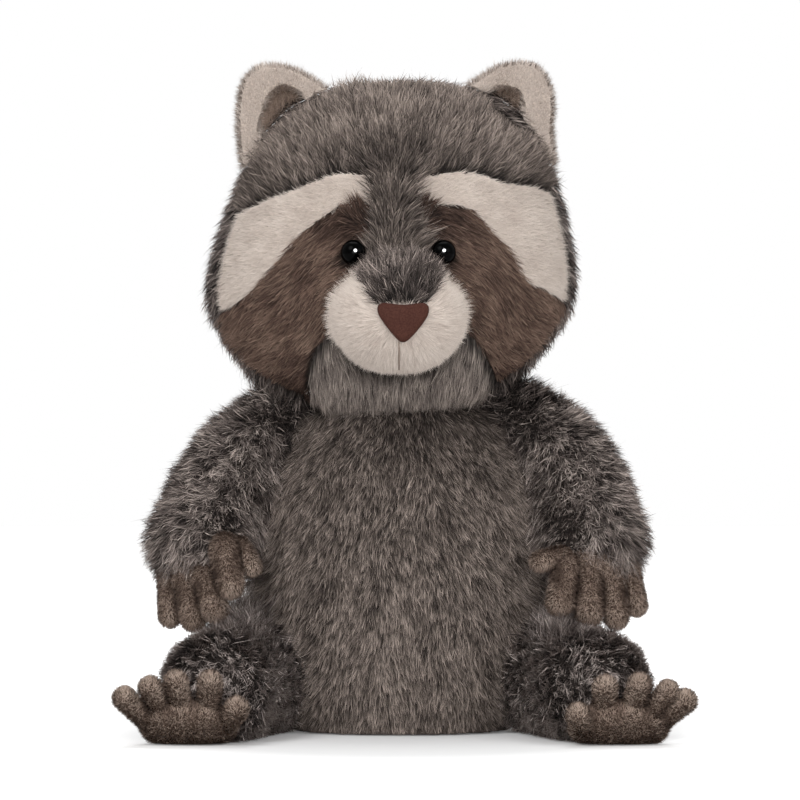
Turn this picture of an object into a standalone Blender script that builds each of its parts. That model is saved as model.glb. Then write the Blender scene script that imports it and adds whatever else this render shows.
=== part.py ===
"""A sitting plush raccoon, 27 cm tall, sewn from fur panels round loose filling.

Metres, +Z up. The toy faces -Y and sits on the flat base of its body, whose middle is the origin.
"Left" and "right" are the toy's own sides: left is +X.
"""

import math

import bmesh
import bpy
from mathutils import Matrix, Vector

# Driving dimensions of the cloth
SEAM_GAP = 0.0003
WASHER_CLEARANCE = 0.0004
FUR_THICKNESS = 0.005
MUZZLE_THICKNESS = 0.004

# Driving dimensions of the head
HEAD_HALF_WIDTH = 0.075
HEAD_HEIGHT = 0.1302
HEAD_SQUASH = 0.78
HEAD_SIDE_SEAM = -0.017
HEAD_SHIFT_X = -0.0035
HEAD_LEAN = 0.060
HEAD_SHIFT_Y = -0.003
HEAD_TURN = 3.0
CHIN_SEAM_X = 0.0025

# Driving dimensions of the muzzle, the nose and the eyes
MUZZLE_HALF_WIDTH = 0.028
MUZZLE_HALF_HEIGHT = 0.023
MUZZLE_REACH = 0.035
MUZZLE_HEIGHT = 0.0336
MUZZLE_SEAM_X = -0.0003
NOSE_HALF_WIDTH = 0.0094
NOSE_HEIGHT = 0.0138
NOSE_TOP = 0.0045
NOSE_THICKNESS = 0.0018
EYE_RADIUS = 0.0052
EYE_DOME = 0.0044
EYE_SINK = 0.0014
EYE_OFFSET = 0.0176
EYE_RISE = 0.0258
EYE_EDGE = 0.0006
STEM_RADIUS = 0.0015
STEM_LENGTH = 0.0090
WASHER_RADIUS = 0.0046
WASHER_THICKNESS = 0.0012

# Driving dimensions of the ears
EAR_THICKNESS = 0.010
EAR_EDGE = 0.0036
EAR_PLACE_Y = -0.008
EAR_HOLLOW_DEPTH = 0.0045
LINING_THICKNESS = 0.0012

# Driving dimensions of the body
BODY_HEIGHT = 0.129
BODY_HALF_WIDTH = 0.058
BODY_SQUASH = 0.86
NECK_RADIUS = 0.040
BASE_RADIUS = 0.047
SEAT_THICKNESS = 0.004
POUCH_RADIUS = 0.028
POUCH_HEIGHT = 0.016

# Driving dimensions of the limbs and the tail
SHOULDER_RADIUS = 0.0150
CUFF_RADIUS = 0.0212
HIP_RADIUS = 0.0238
ANKLE_RADIUS = 0.0228
DIGIT_RADIUS = 0.0057
TOE_RADIUS = 0.0053
TAIL_LENGTH = 0.092
TAIL_RADIUS = 0.0185
TAIL_PRESS = 0.0015
TAIL_ROOT_DEPTH = 0.014
TAIL_BANDS = 5

# How finely the round shapes are cut into flats
HEAD_STEPS = 30
HEAD_INNER_STEPS = 20
BODY_STEPS = 28
BODY_INNER_STEPS = 18
LIMB_SIDES = 16
LIMB_INNER_SIDES = 10
DIGIT_SIDES = 8
MUZZLE_STEPS = 20
MUZZLE_INNER_STEPS = 14
SMALL_STEPS = 14
DOME_STEPS = 5
POUCH_STEPS = 6
RING_SHIFT = 0.25

WIDEST_SHARE = 0.374
NECK_PLANE = BODY_HEIGHT + SEAM_GAP
REACH = 0.3
CUT_MARGIN = 0.010
FACE_STEP = 0.002
SIDES = {"left": 1.0, "right": -1.0}

FUR_GREY = (0.085, 0.066, 0.056)
FUR_CHARCOAL = (0.052, 0.041, 0.037)
FUR_CREAM = (0.52, 0.43, 0.37)
FUR_BROWN = (0.079, 0.048, 0.037)
VELOUR_BROWN = (0.098, 0.066, 0.052)
NOSE_BROWN = (0.072, 0.030, 0.021)
BLACK = (0.006, 0.006, 0.006)
FIBRE_WHITE = (0.78, 0.77, 0.74)
LINEN = (0.45, 0.40, 0.33)

# Outlines on the face, seen from the front. Each point is a share of the head's half width, and of its
# height above the neck. The points of one seam are joined by a smooth line, and corners stay corners.
BROW_SEAMS = {
    "left": {
        "top": ((0.098, 0.676), (0.236, 0.699), (0.391, 0.704), (0.589, 0.672), (0.755, 0.666),
                (0.835, 0.655)),
        "corners": ((1.15, 0.64), (1.15, 0.30), (0.93, 0.325)),
        "under": ((0.891, 0.332), (0.804, 0.355), (0.687, 0.382), (0.619, 0.443), (0.560, 0.498),
                  (0.496, 0.528), (0.433, 0.569), (0.360, 0.601), (0.223, 0.609), (0.098, 0.602)),
    },
    "right": {
        "top": ((-0.139, 0.690), (-0.323, 0.697), (-0.503, 0.657), (-0.697, 0.621), (-0.815, 0.590)),
        "corners": ((-1.15, 0.56), (-1.15, 0.26), (-0.96, 0.290)),
        "under": ((-0.909, 0.293), (-0.776, 0.347), (-0.628, 0.435), (-0.505, 0.523), (-0.345, 0.594),
                  (-0.264, 0.614), (-0.181, 0.591), (-0.139, 0.565)),
    },
}
MASK_SEAMS = {
    "left": {
        "bridge": ((0.098, 0.64), (0.110, 0.560), (0.121, 0.522), (0.163, 0.482), (0.225, 0.420)),
        "behind_muzzle": ((0.13, 0.35), (0.13, 0.22)),
        "chin": ((0.350, 0.232), (0.420, 0.190), (0.470, 0.158), (0.530, 0.100), (0.570, 0.060),
                 (0.573, -0.08)),
        "corners": ((1.15, -0.08), (1.15, 0.42), (0.88, 0.47), (0.73, 0.52), (0.64, 0.60), (0.50, 0.635),
                    (0.33, 0.655)),
    },
    "right": {
        "bridge": ((-0.139, 0.64), (-0.124, 0.530), (-0.150, 0.480), (-0.225, 0.420)),
        "behind_muzzle": ((-0.13, 0.35), (-0.13, 0.22)),
        "chin": ((-0.345, 0.232), (-0.400, 0.190), (-0.450, 0.137), (-0.467, 0.077), (-0.467, -0.08)),
        "corners": ((-1.15, -0.08), (-1.15, 0.40), (-0.92, 0.42), (-0.78, 0.48), (-0.62, 0.555),
                    (-0.48, 0.615), (-0.32, 0.655)),
    },
}
EAR_SHAPES = {
    "left": ((0.855, 0.700), (0.849, 0.845), (0.860, 0.921), (0.828, 1.004), (0.759, 1.043), (0.679, 1.052),
             (0.572, 1.043), (0.467, 1.008), (0.387, 0.972), (0.320, 0.90), (0.33, 0.76), (0.58, 0.66)),
    "right": ((-0.775, 0.690), (-0.817, 0.810), (-0.823, 0.908), (-0.796, 0.988), (-0.723, 1.033),
              (-0.616, 1.043), (-0.489, 1.022), (-0.372, 0.982), (-0.290, 0.93), (-0.29, 0.82),
              (-0.40, 0.70), (-0.60, 0.66)),
}
LINING_SHAPES = {
    "left": ((0.504, 0.958), (0.600, 0.968), (0.668, 0.955), (0.690, 0.880), (0.668, 0.800), (0.590, 0.770),
             (0.480, 0.800), (0.470, 0.880)),
    "right": ((-0.616, 0.963), (-0.543, 0.965), (-0.450, 0.925), (-0.450, 0.860), (-0.500, 0.790),
              (-0.620, 0.770), (-0.700, 0.820), (-0.675, 0.900)),
}
# The dark strip over the snout, in shares of the muzzle's half width and half height
BRIDGE_SHAPE = ((-0.32, 0.20), (-0.46, 0.45), (-0.52, 0.75), (-0.50, 1.30), (0.50, 1.30), (0.52, 0.75),
                (0.46, 0.45), (0.32, 0.20))
# The nose, in shares of its half width and its height
NOSE_SHAPE = ((-1.0, -0.04), (-0.93, -0.30), (-0.45, -0.74), (-0.08, -1.0), (0.08, -1.0), (0.45, -0.76),
              (0.93, -0.32), (1.0, -0.06), (0.80, 0.02), (0.0, -0.05), (-0.80, 0.02))

# The middle line of each limb, from where it is sewn on to its end
ARM_LINES = {
    "left": ((0.048, -0.004, 0.1245), (0.0620, -0.010, 0.113), (0.0715, -0.016, 0.095),
             (0.0750, -0.022, 0.0785)),
    "right": ((-0.048, -0.004, 0.1240), (-0.0610, -0.010, 0.112), (-0.0715, -0.016, 0.094),
              (-0.0775, -0.022, 0.0780)),
}
LEG_LINES = {
    "left": ((0.0590, -0.014, 0.0215), (0.0672, -0.042, 0.0212), (0.0745, -0.066, 0.0208)),
    "right": ((-0.0565, -0.014, 0.0215), (-0.0640, -0.042, 0.0212), (-0.0700, -0.066, 0.0208)),
}
# Each hand has a palm and five digits, and a digit runs from its root to the middle of its round tip
PALMS = {
    "left": {"middle": (0.0785, -0.030, 0.0650), "size": (0.0195, 0.0100, 0.0135), "lean": 0.0},
    "right": {"middle": (-0.0800, -0.030, 0.0645), "size": (0.0170, 0.0100, 0.0145), "lean": 8.0},
}
DIGITS = {
    "left": (
        ((0.0660, -0.036, 0.0710), (0.0535, -0.040, 0.0685)),
        ((0.0670, -0.035, 0.0660), (0.0614, -0.041, 0.0515)),
        ((0.0745, -0.033, 0.0620), (0.0720, -0.039, 0.0465)),
        ((0.0835, -0.032, 0.0620), (0.0850, -0.036, 0.0460)),
        ((0.0890, -0.030, 0.0640), (0.0925, -0.030, 0.0500)),
    ),
    "right": (
        ((-0.0700, -0.036, 0.0730), (-0.0605, -0.041, 0.0725)),
        ((-0.0720, -0.038, 0.0690), (-0.0655, -0.046, 0.0570)),
        ((-0.0780, -0.034, 0.0630), (-0.0735, -0.041, 0.0485)),
        ((-0.0860, -0.032, 0.0620), (-0.0835, -0.036, 0.0445)),
        ((-0.0895, -0.030, 0.0610), (-0.0905, -0.030, 0.0475)),
    ),
}
SOLES = {
    "left": {"middle": (0.0835, -0.0870, 0.0068), "size": (0.0205, 0.0150, 0.0085), "lean": -36.0},
    "right": {"middle": (-0.0805, -0.0870, 0.0072), "size": (0.0200, 0.0150, 0.0085), "lean": -36.0},
}
TOES = {
    "left": (
        ((0.0700, -0.0910, 0.0070), (0.0675, -0.0980, 0.0115)),
        ((0.0775, -0.0905, 0.0115), (0.0775, -0.1000, 0.0220)),
        ((0.0880, -0.0905, 0.0125), (0.0905, -0.1000, 0.0228)),
        ((0.0945, -0.0900, 0.0105), (0.1012, -0.0990, 0.0205)),
        ((0.0985, -0.0890, 0.0090), (0.1078, -0.0975, 0.0170)),
    ),
    "right": (
        ((-0.0660, -0.0905, 0.0085), (-0.0618, -0.0980, 0.0140)),
        ((-0.0725, -0.0905, 0.0115), (-0.0718, -0.1000, 0.0238)),
        ((-0.0828, -0.0905, 0.0120), (-0.0846, -0.1000, 0.0238)),
        ((-0.0895, -0.0900, 0.0115), (-0.0944, -0.0990, 0.0218)),
        ((-0.0960, -0.0890, 0.0095), (-0.1042, -0.0975, 0.0178)),
    ),
}

# The head's profile, from the top down: shares of its half width and of its height
HEAD_PROFILE = ((0.0, 1.0), (0.333, 0.985), (0.633, 0.904), (0.833, 0.735), (0.968, 0.500), (1.0, WIDEST_SHARE),
                (0.973, 0.274), (0.760, 0.105), (0.533, 0.0))
# The body's profile between its neck and its base: shares of its height and of its half width
BODY_PROFILE = ((0.85, 0.855), (0.66, 0.965), (0.46, 1.0), (0.22, 0.965))


def collection_named(name):
    """Makes an empty collection in the scene."""
    collection = bpy.data.collections.new(name)
    bpy.context.scene.collection.children.link(collection)
    return collection


def smooth_line(points, steps):
    """Returns points on a smooth line through the given ones, with the given number of steps between them."""
    knots = [Vector(point) for point in points]
    times = [0.0]
    for start, end in zip(knots, knots[1:]):
        times.append(times[-1] + (end - start).length)
    slopes = []
    for index, knot in enumerate(knots):
        before = max(index - 1, 0)
        after = min(index + 1, len(knots) - 1)
        slopes.append((knots[after] - knots[before]) / (times[after] - times[before]))
    line = []
    for index in range(len(knots) - 1):
        span = times[index + 1] - times[index]
        for step in range(steps):
            share = step / steps
            square, cube = share ** 2, share ** 3
            line.append(
                knots[index] * (2 * cube - 3 * square + 1)
                + slopes[index] * span * (cube - 2 * square + share)
                + knots[index + 1] * (3 * square - 2 * cube)
                + slopes[index + 1] * span * (cube - square)
            )
    line.append(knots[-1])
    return line


def closed_line(points, steps):
    """Returns a smooth closed outline through the given points."""
    count = len(points)
    around = [points[index % count] for index in range(-2, count + 3)]
    line = smooth_line(around, steps)
    return line[2 * steps:(2 + count) * steps]


def offset_profile(profile, distance):
    """Moves a turned shape's profile of (radius, height) points outwards by a distance."""
    moved = []
    for index, point in enumerate(profile):
        before = profile[max(index - 1, 0)]
        after = profile[min(index + 1, len(profile) - 1)]
        along = (after - before).normalized()
        outward = Vector((-along.y, along.x))
        moved.append(Vector((max(point.x + outward.x * distance, 0.0), point.y + outward.y * distance)))
    return moved


def object_from(mesh, name):
    """Places a mesh in the scene as an object at the origin."""
    item = bpy.data.objects.new(name, mesh)
    bpy.context.scene.collection.objects.link(item)
    return item


def baked(item):
    """Replaces an object with the plain welded mesh that its modifiers and place give it."""
    bpy.context.view_layer.update()
    seen = item.evaluated_get(bpy.context.evaluated_depsgraph_get())
    mesh = bpy.data.meshes.new_from_object(seen)
    mesh.transform(item.matrix_world)
    work = bmesh.new()
    work.from_mesh(mesh)
    bmesh.ops.remove_doubles(work, verts=work.verts[:], dist=1e-6)
    bmesh.ops.recalc_face_normals(work, faces=work.faces[:])
    work.to_mesh(mesh)
    work.free()
    plain = object_from(mesh, item.name + "_plain")
    bpy.data.objects.remove(item)
    return plain


def turned(profile, steps, squash=1.0):
    """Makes a turned solid from (radius, height) points, top to bottom, and narrows it along Y."""
    mesh = bpy.data.meshes.new("profile")
    mesh.from_pydata(
        [(point.x, 0.0, point.y) for point in profile],
        [(index, index + 1) for index in range(len(profile) - 1)],
        [],
    )
    item = object_from(mesh, "turned")
    screw = item.modifiers.new("Screw", "SCREW")
    screw.steps = steps
    screw.render_steps = steps
    screw.use_merge_vertices = True
    screw.merge_threshold = 0.00001
    item.scale = (1.0, squash, 1.0)
    return baked(item)


def ball(middle, size, lean=0.0, steps=SMALL_STEPS):
    """Makes an ellipsoid of three half sizes, leaned about X by an angle in degrees."""
    mesh = bpy.data.meshes.new("ball")
    work = bmesh.new()
    bmesh.ops.create_uvsphere(work, u_segments=steps, v_segments=steps // 2, radius=1.0)
    work.to_mesh(mesh)
    work.free()
    item = object_from(mesh, "ball")
    item.matrix_world = (
        Matrix.Translation(middle)
        @ Matrix.Rotation(math.radians(lean), 4, "X")
        @ Matrix.Diagonal((*size, 1.0))
    )
    return baked(item)


def block(low, high):
    """Makes a box between two corners."""
    mesh = bpy.data.meshes.new("block")
    work = bmesh.new()
    bmesh.ops.create_cube(work, size=1.0)
    work.to_mesh(mesh)
    work.free()
    item = object_from(mesh, "block")
    low, high = Vector(low), Vector(high)
    item.matrix_world = Matrix.Translation((low + high) / 2) @ Matrix.Diagonal((*(high - low), 1.0))
    return baked(item)


def grown(outline, distance):
    """Moves a closed flat outline outwards by a distance."""
    count = len(outline)
    area = sum(outline[i].x * outline[(i + 1) % count].y - outline[(i + 1) % count].x * outline[i].y
               for i in range(count))
    way = 1.0 if area > 0 else -1.0
    moved = []
    for index, point in enumerate(outline):
        into = (point - outline[index - 1]).normalized()
        out_of = (outline[(index + 1) % count] - point).normalized()
        normal = Vector((into.y + out_of.y, -into.x - out_of.x)).normalized() * way
        spread = max(normal.dot(Vector((into.y, -into.x)) * way), 0.5)
        moved.append(point + normal * distance / spread)
    return moved


def prism(outline, front, back, grow=0.0, edge=0.0):
    """Makes a solid from an outline of (x, z) points between two places along Y."""
    curve = bpy.data.curves.new("outline", "CURVE")
    curve.dimensions = "2D"
    curve.fill_mode = "BOTH"
    curve.extrude = (back - front) / 2
    spline = curve.splines.new("POLY")
    shape = grown(outline, grow) if grow else outline
    spline.points.add(len(shape) - 1)
    for point, place in zip(spline.points, shape):
        point.co = (place.x, place.y, 0.0, 1.0)
    spline.use_cyclic_u = True
    item = object_from(curve, "prism")
    middle = Matrix.Translation((0.0, (front + back) / 2, 0.0))
    item.matrix_world = middle @ Matrix.Rotation(math.pi / 2, 4, "X")
    solid = baked(item)
    if edge:
        bevel = solid.modifiers.new("Bevel", "BEVEL")
        bevel.width = edge
        bevel.segments = 3
        bevel.limit_method = "ANGLE"
        bevel.angle_limit = math.radians(50)
        solid = baked(solid)
    return solid


def tube(line, radii, sides, grow=0.0, steps=2, rings=3):
    """Makes a tube along a line with a radius at each of its points and round ends."""
    knots = [Vector((*place, radius)) for place, radius in zip(line, radii)]
    middle = smooth_line(knots, steps) if len(knots) > 2 else knots
    first, last = middle[0], middle[-1]
    back = (first.xyz - middle[1].xyz).normalized()
    ahead = (last.xyz - middle[-2].xyz).normalized()
    angles = [math.pi / 2 * (1 - (ring + RING_SHIFT) / rings) for ring in range(rings)]
    stations = []
    for angle in angles:
        wide = first.w + grow
        stations.append((first.xyz + back * wide * math.sin(angle), wide * math.cos(angle)))
    stations += [(knot.xyz, knot.w + grow) for knot in middle]
    for angle in reversed(angles):
        wide = last.w + grow
        stations.append((last.xyz + ahead * wide * math.sin(angle), wide * math.cos(angle)))
    curve = bpy.data.curves.new("tube", "CURVE")
    curve.dimensions = "3D"
    curve.bevel_depth = 1.0
    curve.bevel_resolution = (sides - 4) // 2
    curve.use_fill_caps = True
    spline = curve.splines.new("POLY")
    spline.points.add(len(stations) - 1)
    for point, (place, radius) in zip(spline.points, stations):
        point.co = (*place, 1.0)
        point.radius = radius
    return baked(object_from(curve, "tube"))


def combined(base, others, operation, keep=()):
    """Cuts, joins or crosses a solid with others, and removes the others unless they are kept."""
    for other in others:
        change = base.modifiers.new("Boolean", "BOOLEAN")
        change.operation = operation
        change.solver = "EXACT"
        change.object = other
    result = baked(base)
    for other in others:
        if other not in keep:
            bpy.data.objects.remove(other)
    return result


def cut(base, *others, keep=()):
    """Cuts other solids out of one."""
    return combined(base, others, "DIFFERENCE", keep)


def joined(base, *others, keep=()):
    """Joins other solids to one."""
    return combined(base, others, "UNION", keep)


def crossed(base, other, keep=()):
    """Keeps what two solids share."""
    return combined(base, (other,), "INTERSECT", keep)


def copied(item):
    """Copies a plain solid."""
    return object_from(item.data.copy(), item.name)


def material(name, colour, roughness, metallic=0.0):
    """Makes a plain material."""
    made = bpy.data.materials.new(name)
    made.use_nodes = True
    shader = made.node_tree.nodes["Principled BSDF"]
    shader.inputs["Base Color"].default_value = (*colour, 1.0)
    shader.inputs["Roughness"].default_value = roughness
    shader.inputs["Metallic"].default_value = metallic
    made.diffuse_color = (*colour, 1.0)
    return made


def finished(item, name, made_of, toy, place=None):
    """Names a piece, gives it its material and puts it in the toy."""
    item.name = name
    item.data.name = name
    item.data.materials.clear()
    item.data.materials.append(made_of)
    item.data.shade_smooth()
    item.data.set_sharp_from_angle(angle=math.radians(40))
    if place is not None:
        item.matrix_world = place
    bpy.context.scene.collection.objects.unlink(item)
    toy.objects.link(item)
    return item


def head_profile(offset=0.0, steps=2):
    """Returns the head's profile, from its top down to the neck, in its own frame over the neck plane."""
    knots = [(radius * HEAD_HALF_WIDTH, height * HEAD_HEIGHT) for radius, height in HEAD_PROFILE]
    return offset_profile(smooth_line(knots, steps), offset)


def head_form(offset=0.0, floor=0.0):
    """Makes the whole head as a solid, moved in or out by an offset and closed at a floor height."""
    inner = offset < 0
    line = head_profile(offset, 1 if inner else 2)
    line[-1].y = floor
    form = turned(line + [Vector((0.0, floor))], HEAD_INNER_STEPS if inner else HEAD_STEPS, HEAD_SQUASH)
    lean = Matrix.Identity(4)
    lean[0][2] = HEAD_LEAN
    lean[0][3] = -HEAD_LEAN * HEAD_HEIGHT * WIDEST_SHARE
    form.data.transform(lean)
    return form


def head_radius(height):
    """Returns the head's radius at a height over the neck plane."""
    line = head_profile()
    for upper, lower in zip(line, line[1:]):
        if lower.y <= height <= upper.y:
            share = (upper.y - height) / (upper.y - lower.y)
            return upper.x + (lower.x - upper.x) * share
    return 0.0


def face_depth(across, height):
    """Returns the place along Y of the face's surface."""
    radius = head_radius(height)
    across -= HEAD_LEAN * (height - HEAD_HEIGHT * WIDEST_SHARE)
    return -HEAD_SQUASH * math.sqrt(max(radius ** 2 - across ** 2, 0.0))


def face_place(across, height):
    """Returns a frame on the face whose Z axis points straight out of its surface."""
    step = FACE_STEP
    point = Vector((across, face_depth(across, height), height))
    sideways = Vector((2 * step, face_depth(across + step, height) - face_depth(across - step, height), 0.0))
    upwards = Vector((0.0, face_depth(across, height + step) - face_depth(across, height - step), 2 * step))
    outward = sideways.cross(upwards).normalized()
    return Matrix.Translation(point) @ outward.to_track_quat("Z", "Y").to_matrix().to_4x4()


def on_face(points):
    """Turns shares of the head's half width and height into lengths."""
    return [Vector((across * HEAD_HALF_WIDTH, up * HEAD_HEIGHT)) for across, up in points]


def brow_outline(side):
    """Returns the outline of a pale brow."""
    seams = BROW_SEAMS[side]
    top = smooth_line(on_face(seams["top"]), 2)
    under = smooth_line(on_face(seams["under"]), 2)
    return top + on_face(seams["corners"]) + under


def mask_outline(side):
    """Returns the outline of the brown patch round an eye, which runs on under the brow and the muzzle."""
    seams = MASK_SEAMS[side]
    return (
        smooth_line(on_face(seams["bridge"]), 2)
        + on_face(seams["behind_muzzle"])
        + smooth_line(on_face(seams["chin"]), 2)
        + on_face(seams["corners"])
    )


def muzzle_middle():
    """Returns the middle of the snout, on the face's surface."""
    return Vector((0.0, face_depth(0.0, MUZZLE_HEIGHT), MUZZLE_HEIGHT))


def muzzle_form(offset=0.0):
    """Makes the whole snout as a solid, moved in or out by an offset."""
    size = (MUZZLE_HALF_WIDTH + offset, MUZZLE_REACH + offset, MUZZLE_HALF_HEIGHT + offset)
    return ball(muzzle_middle(), size, steps=MUZZLE_INNER_STEPS if offset < 0 else MUZZLE_STEPS)


def eye_frame(side):
    """Returns the frame of an eye, on the face's surface."""
    return face_place(EYE_OFFSET * SIDES[side], MUZZLE_HEIGHT + EYE_RISE)


def eye_solid(side):
    """Makes an eye: a dome whose flat back lies in the pile, and its stem."""
    rim = [Vector((EYE_RADIUS * math.sin(a), EYE_DOME * math.cos(a) - EYE_SINK + EYE_EDGE))
           for a in [math.pi / 2 * step / DOME_STEPS for step in range(DOME_STEPS + 1)]]
    profile = rim + [
        Vector((EYE_RADIUS - EYE_EDGE, -EYE_SINK)),
        Vector((STEM_RADIUS, -EYE_SINK)),
        Vector((STEM_RADIUS, -EYE_SINK - STEM_LENGTH)),
        Vector((0.0, -EYE_SINK - STEM_LENGTH)),
    ]
    eye = turned(profile, SMALL_STEPS)
    eye.matrix_world = eye_frame(side)
    return baked(eye)


def eye_seat(side):
    """Makes the room that an eye takes in the fabric, with its clearance."""
    wide = EYE_RADIUS + SEAM_GAP
    hole = STEM_RADIUS + SEAM_GAP
    deep = 2 * CUT_MARGIN
    profile = [Vector((0.0, deep)), Vector((wide, deep)), Vector((wide, -EYE_SINK - SEAM_GAP)),
               Vector((hole, -EYE_SINK - SEAM_GAP)), Vector((hole, -deep)), Vector((0.0, -deep))]
    seat = turned(profile, SMALL_STEPS)
    seat.matrix_world = eye_frame(side)
    return baked(seat)


def ring(inner, outer, top, bottom, place):
    """Makes a flat ring or, with no inner radius, a disc."""
    profile = [Vector((inner, top)), Vector((outer, top)), Vector((outer, bottom)), Vector((inner, bottom))]
    if inner:
        profile.append(profile[0])
    made = turned(profile, SMALL_STEPS)
    made.matrix_world = place
    return baked(made)


def body_form(offset=0.0, bottom=0.0, top=BODY_HEIGHT):
    """Makes the body as a solid, moved in or out by an offset."""
    inner = offset < 0
    knots = [(NECK_RADIUS, BODY_HEIGHT)]
    knots += [(share * BODY_HALF_WIDTH, height * BODY_HEIGHT) for height, share in BODY_PROFILE]
    knots.append((BASE_RADIUS, 0.0))
    line = offset_profile(smooth_line(knots, 1 if inner else 2), offset)
    line[0].y = top
    line[-1].y = bottom
    closed = [Vector((0.0, top))] + line + [Vector((0.0, bottom))]
    return turned(closed, BODY_INNER_STEPS if inner else BODY_STEPS, BODY_SQUASH)


def arm_form(side, offset=0.0):
    """Makes an arm as a solid, moved in or out by an offset."""
    line = ARM_LINES[side]
    radii = [SHOULDER_RADIUS + (CUFF_RADIUS - SHOULDER_RADIUS) * share for share in (0.0, 0.55, 0.9, 1.0)]
    return tube(line, radii, LIMB_INNER_SIDES if offset < 0 else LIMB_SIDES, offset)


def leg_form(side, offset=0.0):
    """Makes a leg as a solid, moved in or out by an offset."""
    line = LEG_LINES[side]
    radii = [HIP_RADIUS, (HIP_RADIUS + ANKLE_RADIUS) / 2, ANKLE_RADIUS]
    return tube(line, radii, LIMB_INNER_SIDES if offset < 0 else LIMB_SIDES, offset)


def ground(height=0.0):
    """Makes everything that lies below a height."""
    return block((-REACH, -REACH, -REACH), (REACH, REACH, height))


def head_place():
    """Returns the head's place on the body."""
    return (
        Matrix.Translation((HEAD_SHIFT_X, HEAD_SHIFT_Y, NECK_PLANE))
        @ Matrix.Rotation(math.radians(HEAD_TURN), 4, "Z")
    )


def build_head(toy, cloth):
    """Builds the head: its panels, its filling, the eyes, the nose and the ears."""
    place = head_place()
    shell = cut(head_form(), head_form(-FUR_THICKNESS, floor=-CUT_MARGIN))
    shell = cut(shell, muzzle_form(SEAM_GAP))
    back_cut = block((-REACH, HEAD_SIDE_SEAM + SEAM_GAP / 2, -REACH), (REACH, REACH, REACH))
    front_cut = block((-REACH, -REACH, -REACH), (REACH, HEAD_SIDE_SEAM - SEAM_GAP / 2, REACH))
    back = crossed(copied(shell), back_cut)
    finished(back, "head_back_panel", cloth["charcoal"], toy, place)
    front = cut(crossed(shell, front_cut), *[eye_seat(side) for side in SIDES])

    for side in SIDES:
        outline = brow_outline(side)
        brow = crossed(copied(front), prism(outline, -REACH, 0.0))
        front = cut(front, prism(outline, -REACH, 0.0, SEAM_GAP))
        finished(brow, f"brow_{side}", cloth["cream"], toy, place)
    for side in SIDES:
        outline = mask_outline(side)
        mask = crossed(copied(front), prism(outline, -REACH, 0.0))
        front = cut(front, prism(outline, -REACH, 0.0, SEAM_GAP))
        finished(mask, f"mask_{side}", cloth["brown"], toy, place)
    chin_top = muzzle_middle().z
    for side, sign in SIDES.items():
        near = CHIN_SEAM_X + sign * SEAM_GAP / 2
        far = sign * REACH
        chin_box = block((min(near, far), -REACH, -REACH), (max(near, far), REACH, chin_top))
        chin = crossed(copied(front), chin_box)
        finished(chin, f"chin_{side}", cloth["grey"], toy, place)
    chin_space = block((-REACH, -REACH, -REACH), (REACH, REACH, chin_top + SEAM_GAP))
    crown = cut(front, chin_space)
    finished(crown, "crown_panel", cloth["grey"], toy, place)

    build_muzzle(toy, cloth, place)
    build_head_filling(toy, cloth, place)
    build_eyes(toy, cloth, place)
    build_ears(toy, cloth, place)


def build_head_filling(toy, cloth, place):
    """Builds the head's filling, which also fills the snout."""
    filling = head_form(-FUR_THICKNESS - SEAM_GAP)
    filling = joined(filling, muzzle_form(-MUZZLE_THICKNESS - SEAM_GAP))
    for side in SIDES:
        deep = ring(0.0, WASHER_RADIUS + SEAM_GAP, 0.0, -EYE_SINK - STEM_LENGTH - SEAM_GAP, eye_frame(side))
        filling = cut(filling, deep)
    finished(filling, "head_stuffing", cloth["fibre"], toy, place)


def build_muzzle(toy, cloth, place):
    """Builds the snout's two pale halves, the dark strip over it, and the nose."""
    middle = muzzle_middle()
    room = head_form(-FUR_THICKNESS, floor=-CUT_MARGIN)
    shell = cut(muzzle_form(), muzzle_form(-MUZZLE_THICKNESS), room)
    strip = [Vector((across * MUZZLE_HALF_WIDTH, middle.z + up * MUZZLE_HALF_HEIGHT))
             for across, up in BRIDGE_SHAPE]
    strip = smooth_line(strip[:4], 2) + smooth_line(strip[4:], 2)
    bridge = crossed(copied(shell), prism(strip, -REACH, 0.0))
    finished(bridge, "muzzle_bridge", cloth["charcoal"], toy, place)
    shell = cut(shell, prism(strip, -REACH, 0.0, SEAM_GAP))
    for side, sign in SIDES.items():
        near = MUZZLE_SEAM_X + sign * SEAM_GAP / 2
        far = sign * REACH
        half = block((min(near, far), -REACH, -REACH), (max(near, far), REACH, REACH))
        finished(crossed(copied(shell), half), f"muzzle_{side}", cloth["cream"], toy, place)
    bpy.data.objects.remove(shell)

    top = middle.z + NOSE_TOP
    corners = [Vector((across * NOSE_HALF_WIDTH, top + up * NOSE_HEIGHT)) for across, up in NOSE_SHAPE]
    outline = closed_line(corners, 2)
    nose = crossed(muzzle_form(NOSE_THICKNESS + SEAM_GAP), prism(outline, -REACH, middle.y))
    nose = cut(nose, muzzle_form(SEAM_GAP))
    finished(nose, "nose", cloth["nose"], toy, place)


def build_eyes(toy, cloth, place):
    """Builds the two eyes and the washers that hold them on behind the fabric."""
    for side in SIDES:
        finished(eye_solid(side), f"eye_{side}", cloth["eye"], toy, place)
        top = -FUR_THICKNESS - SEAM_GAP - WASHER_CLEARANCE
        washer = ring(STEM_RADIUS + SEAM_GAP, WASHER_RADIUS, top, top - WASHER_THICKNESS, eye_frame(side))
        finished(washer, f"eye_washer_{side}", cloth["washer"], toy, place)


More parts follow.
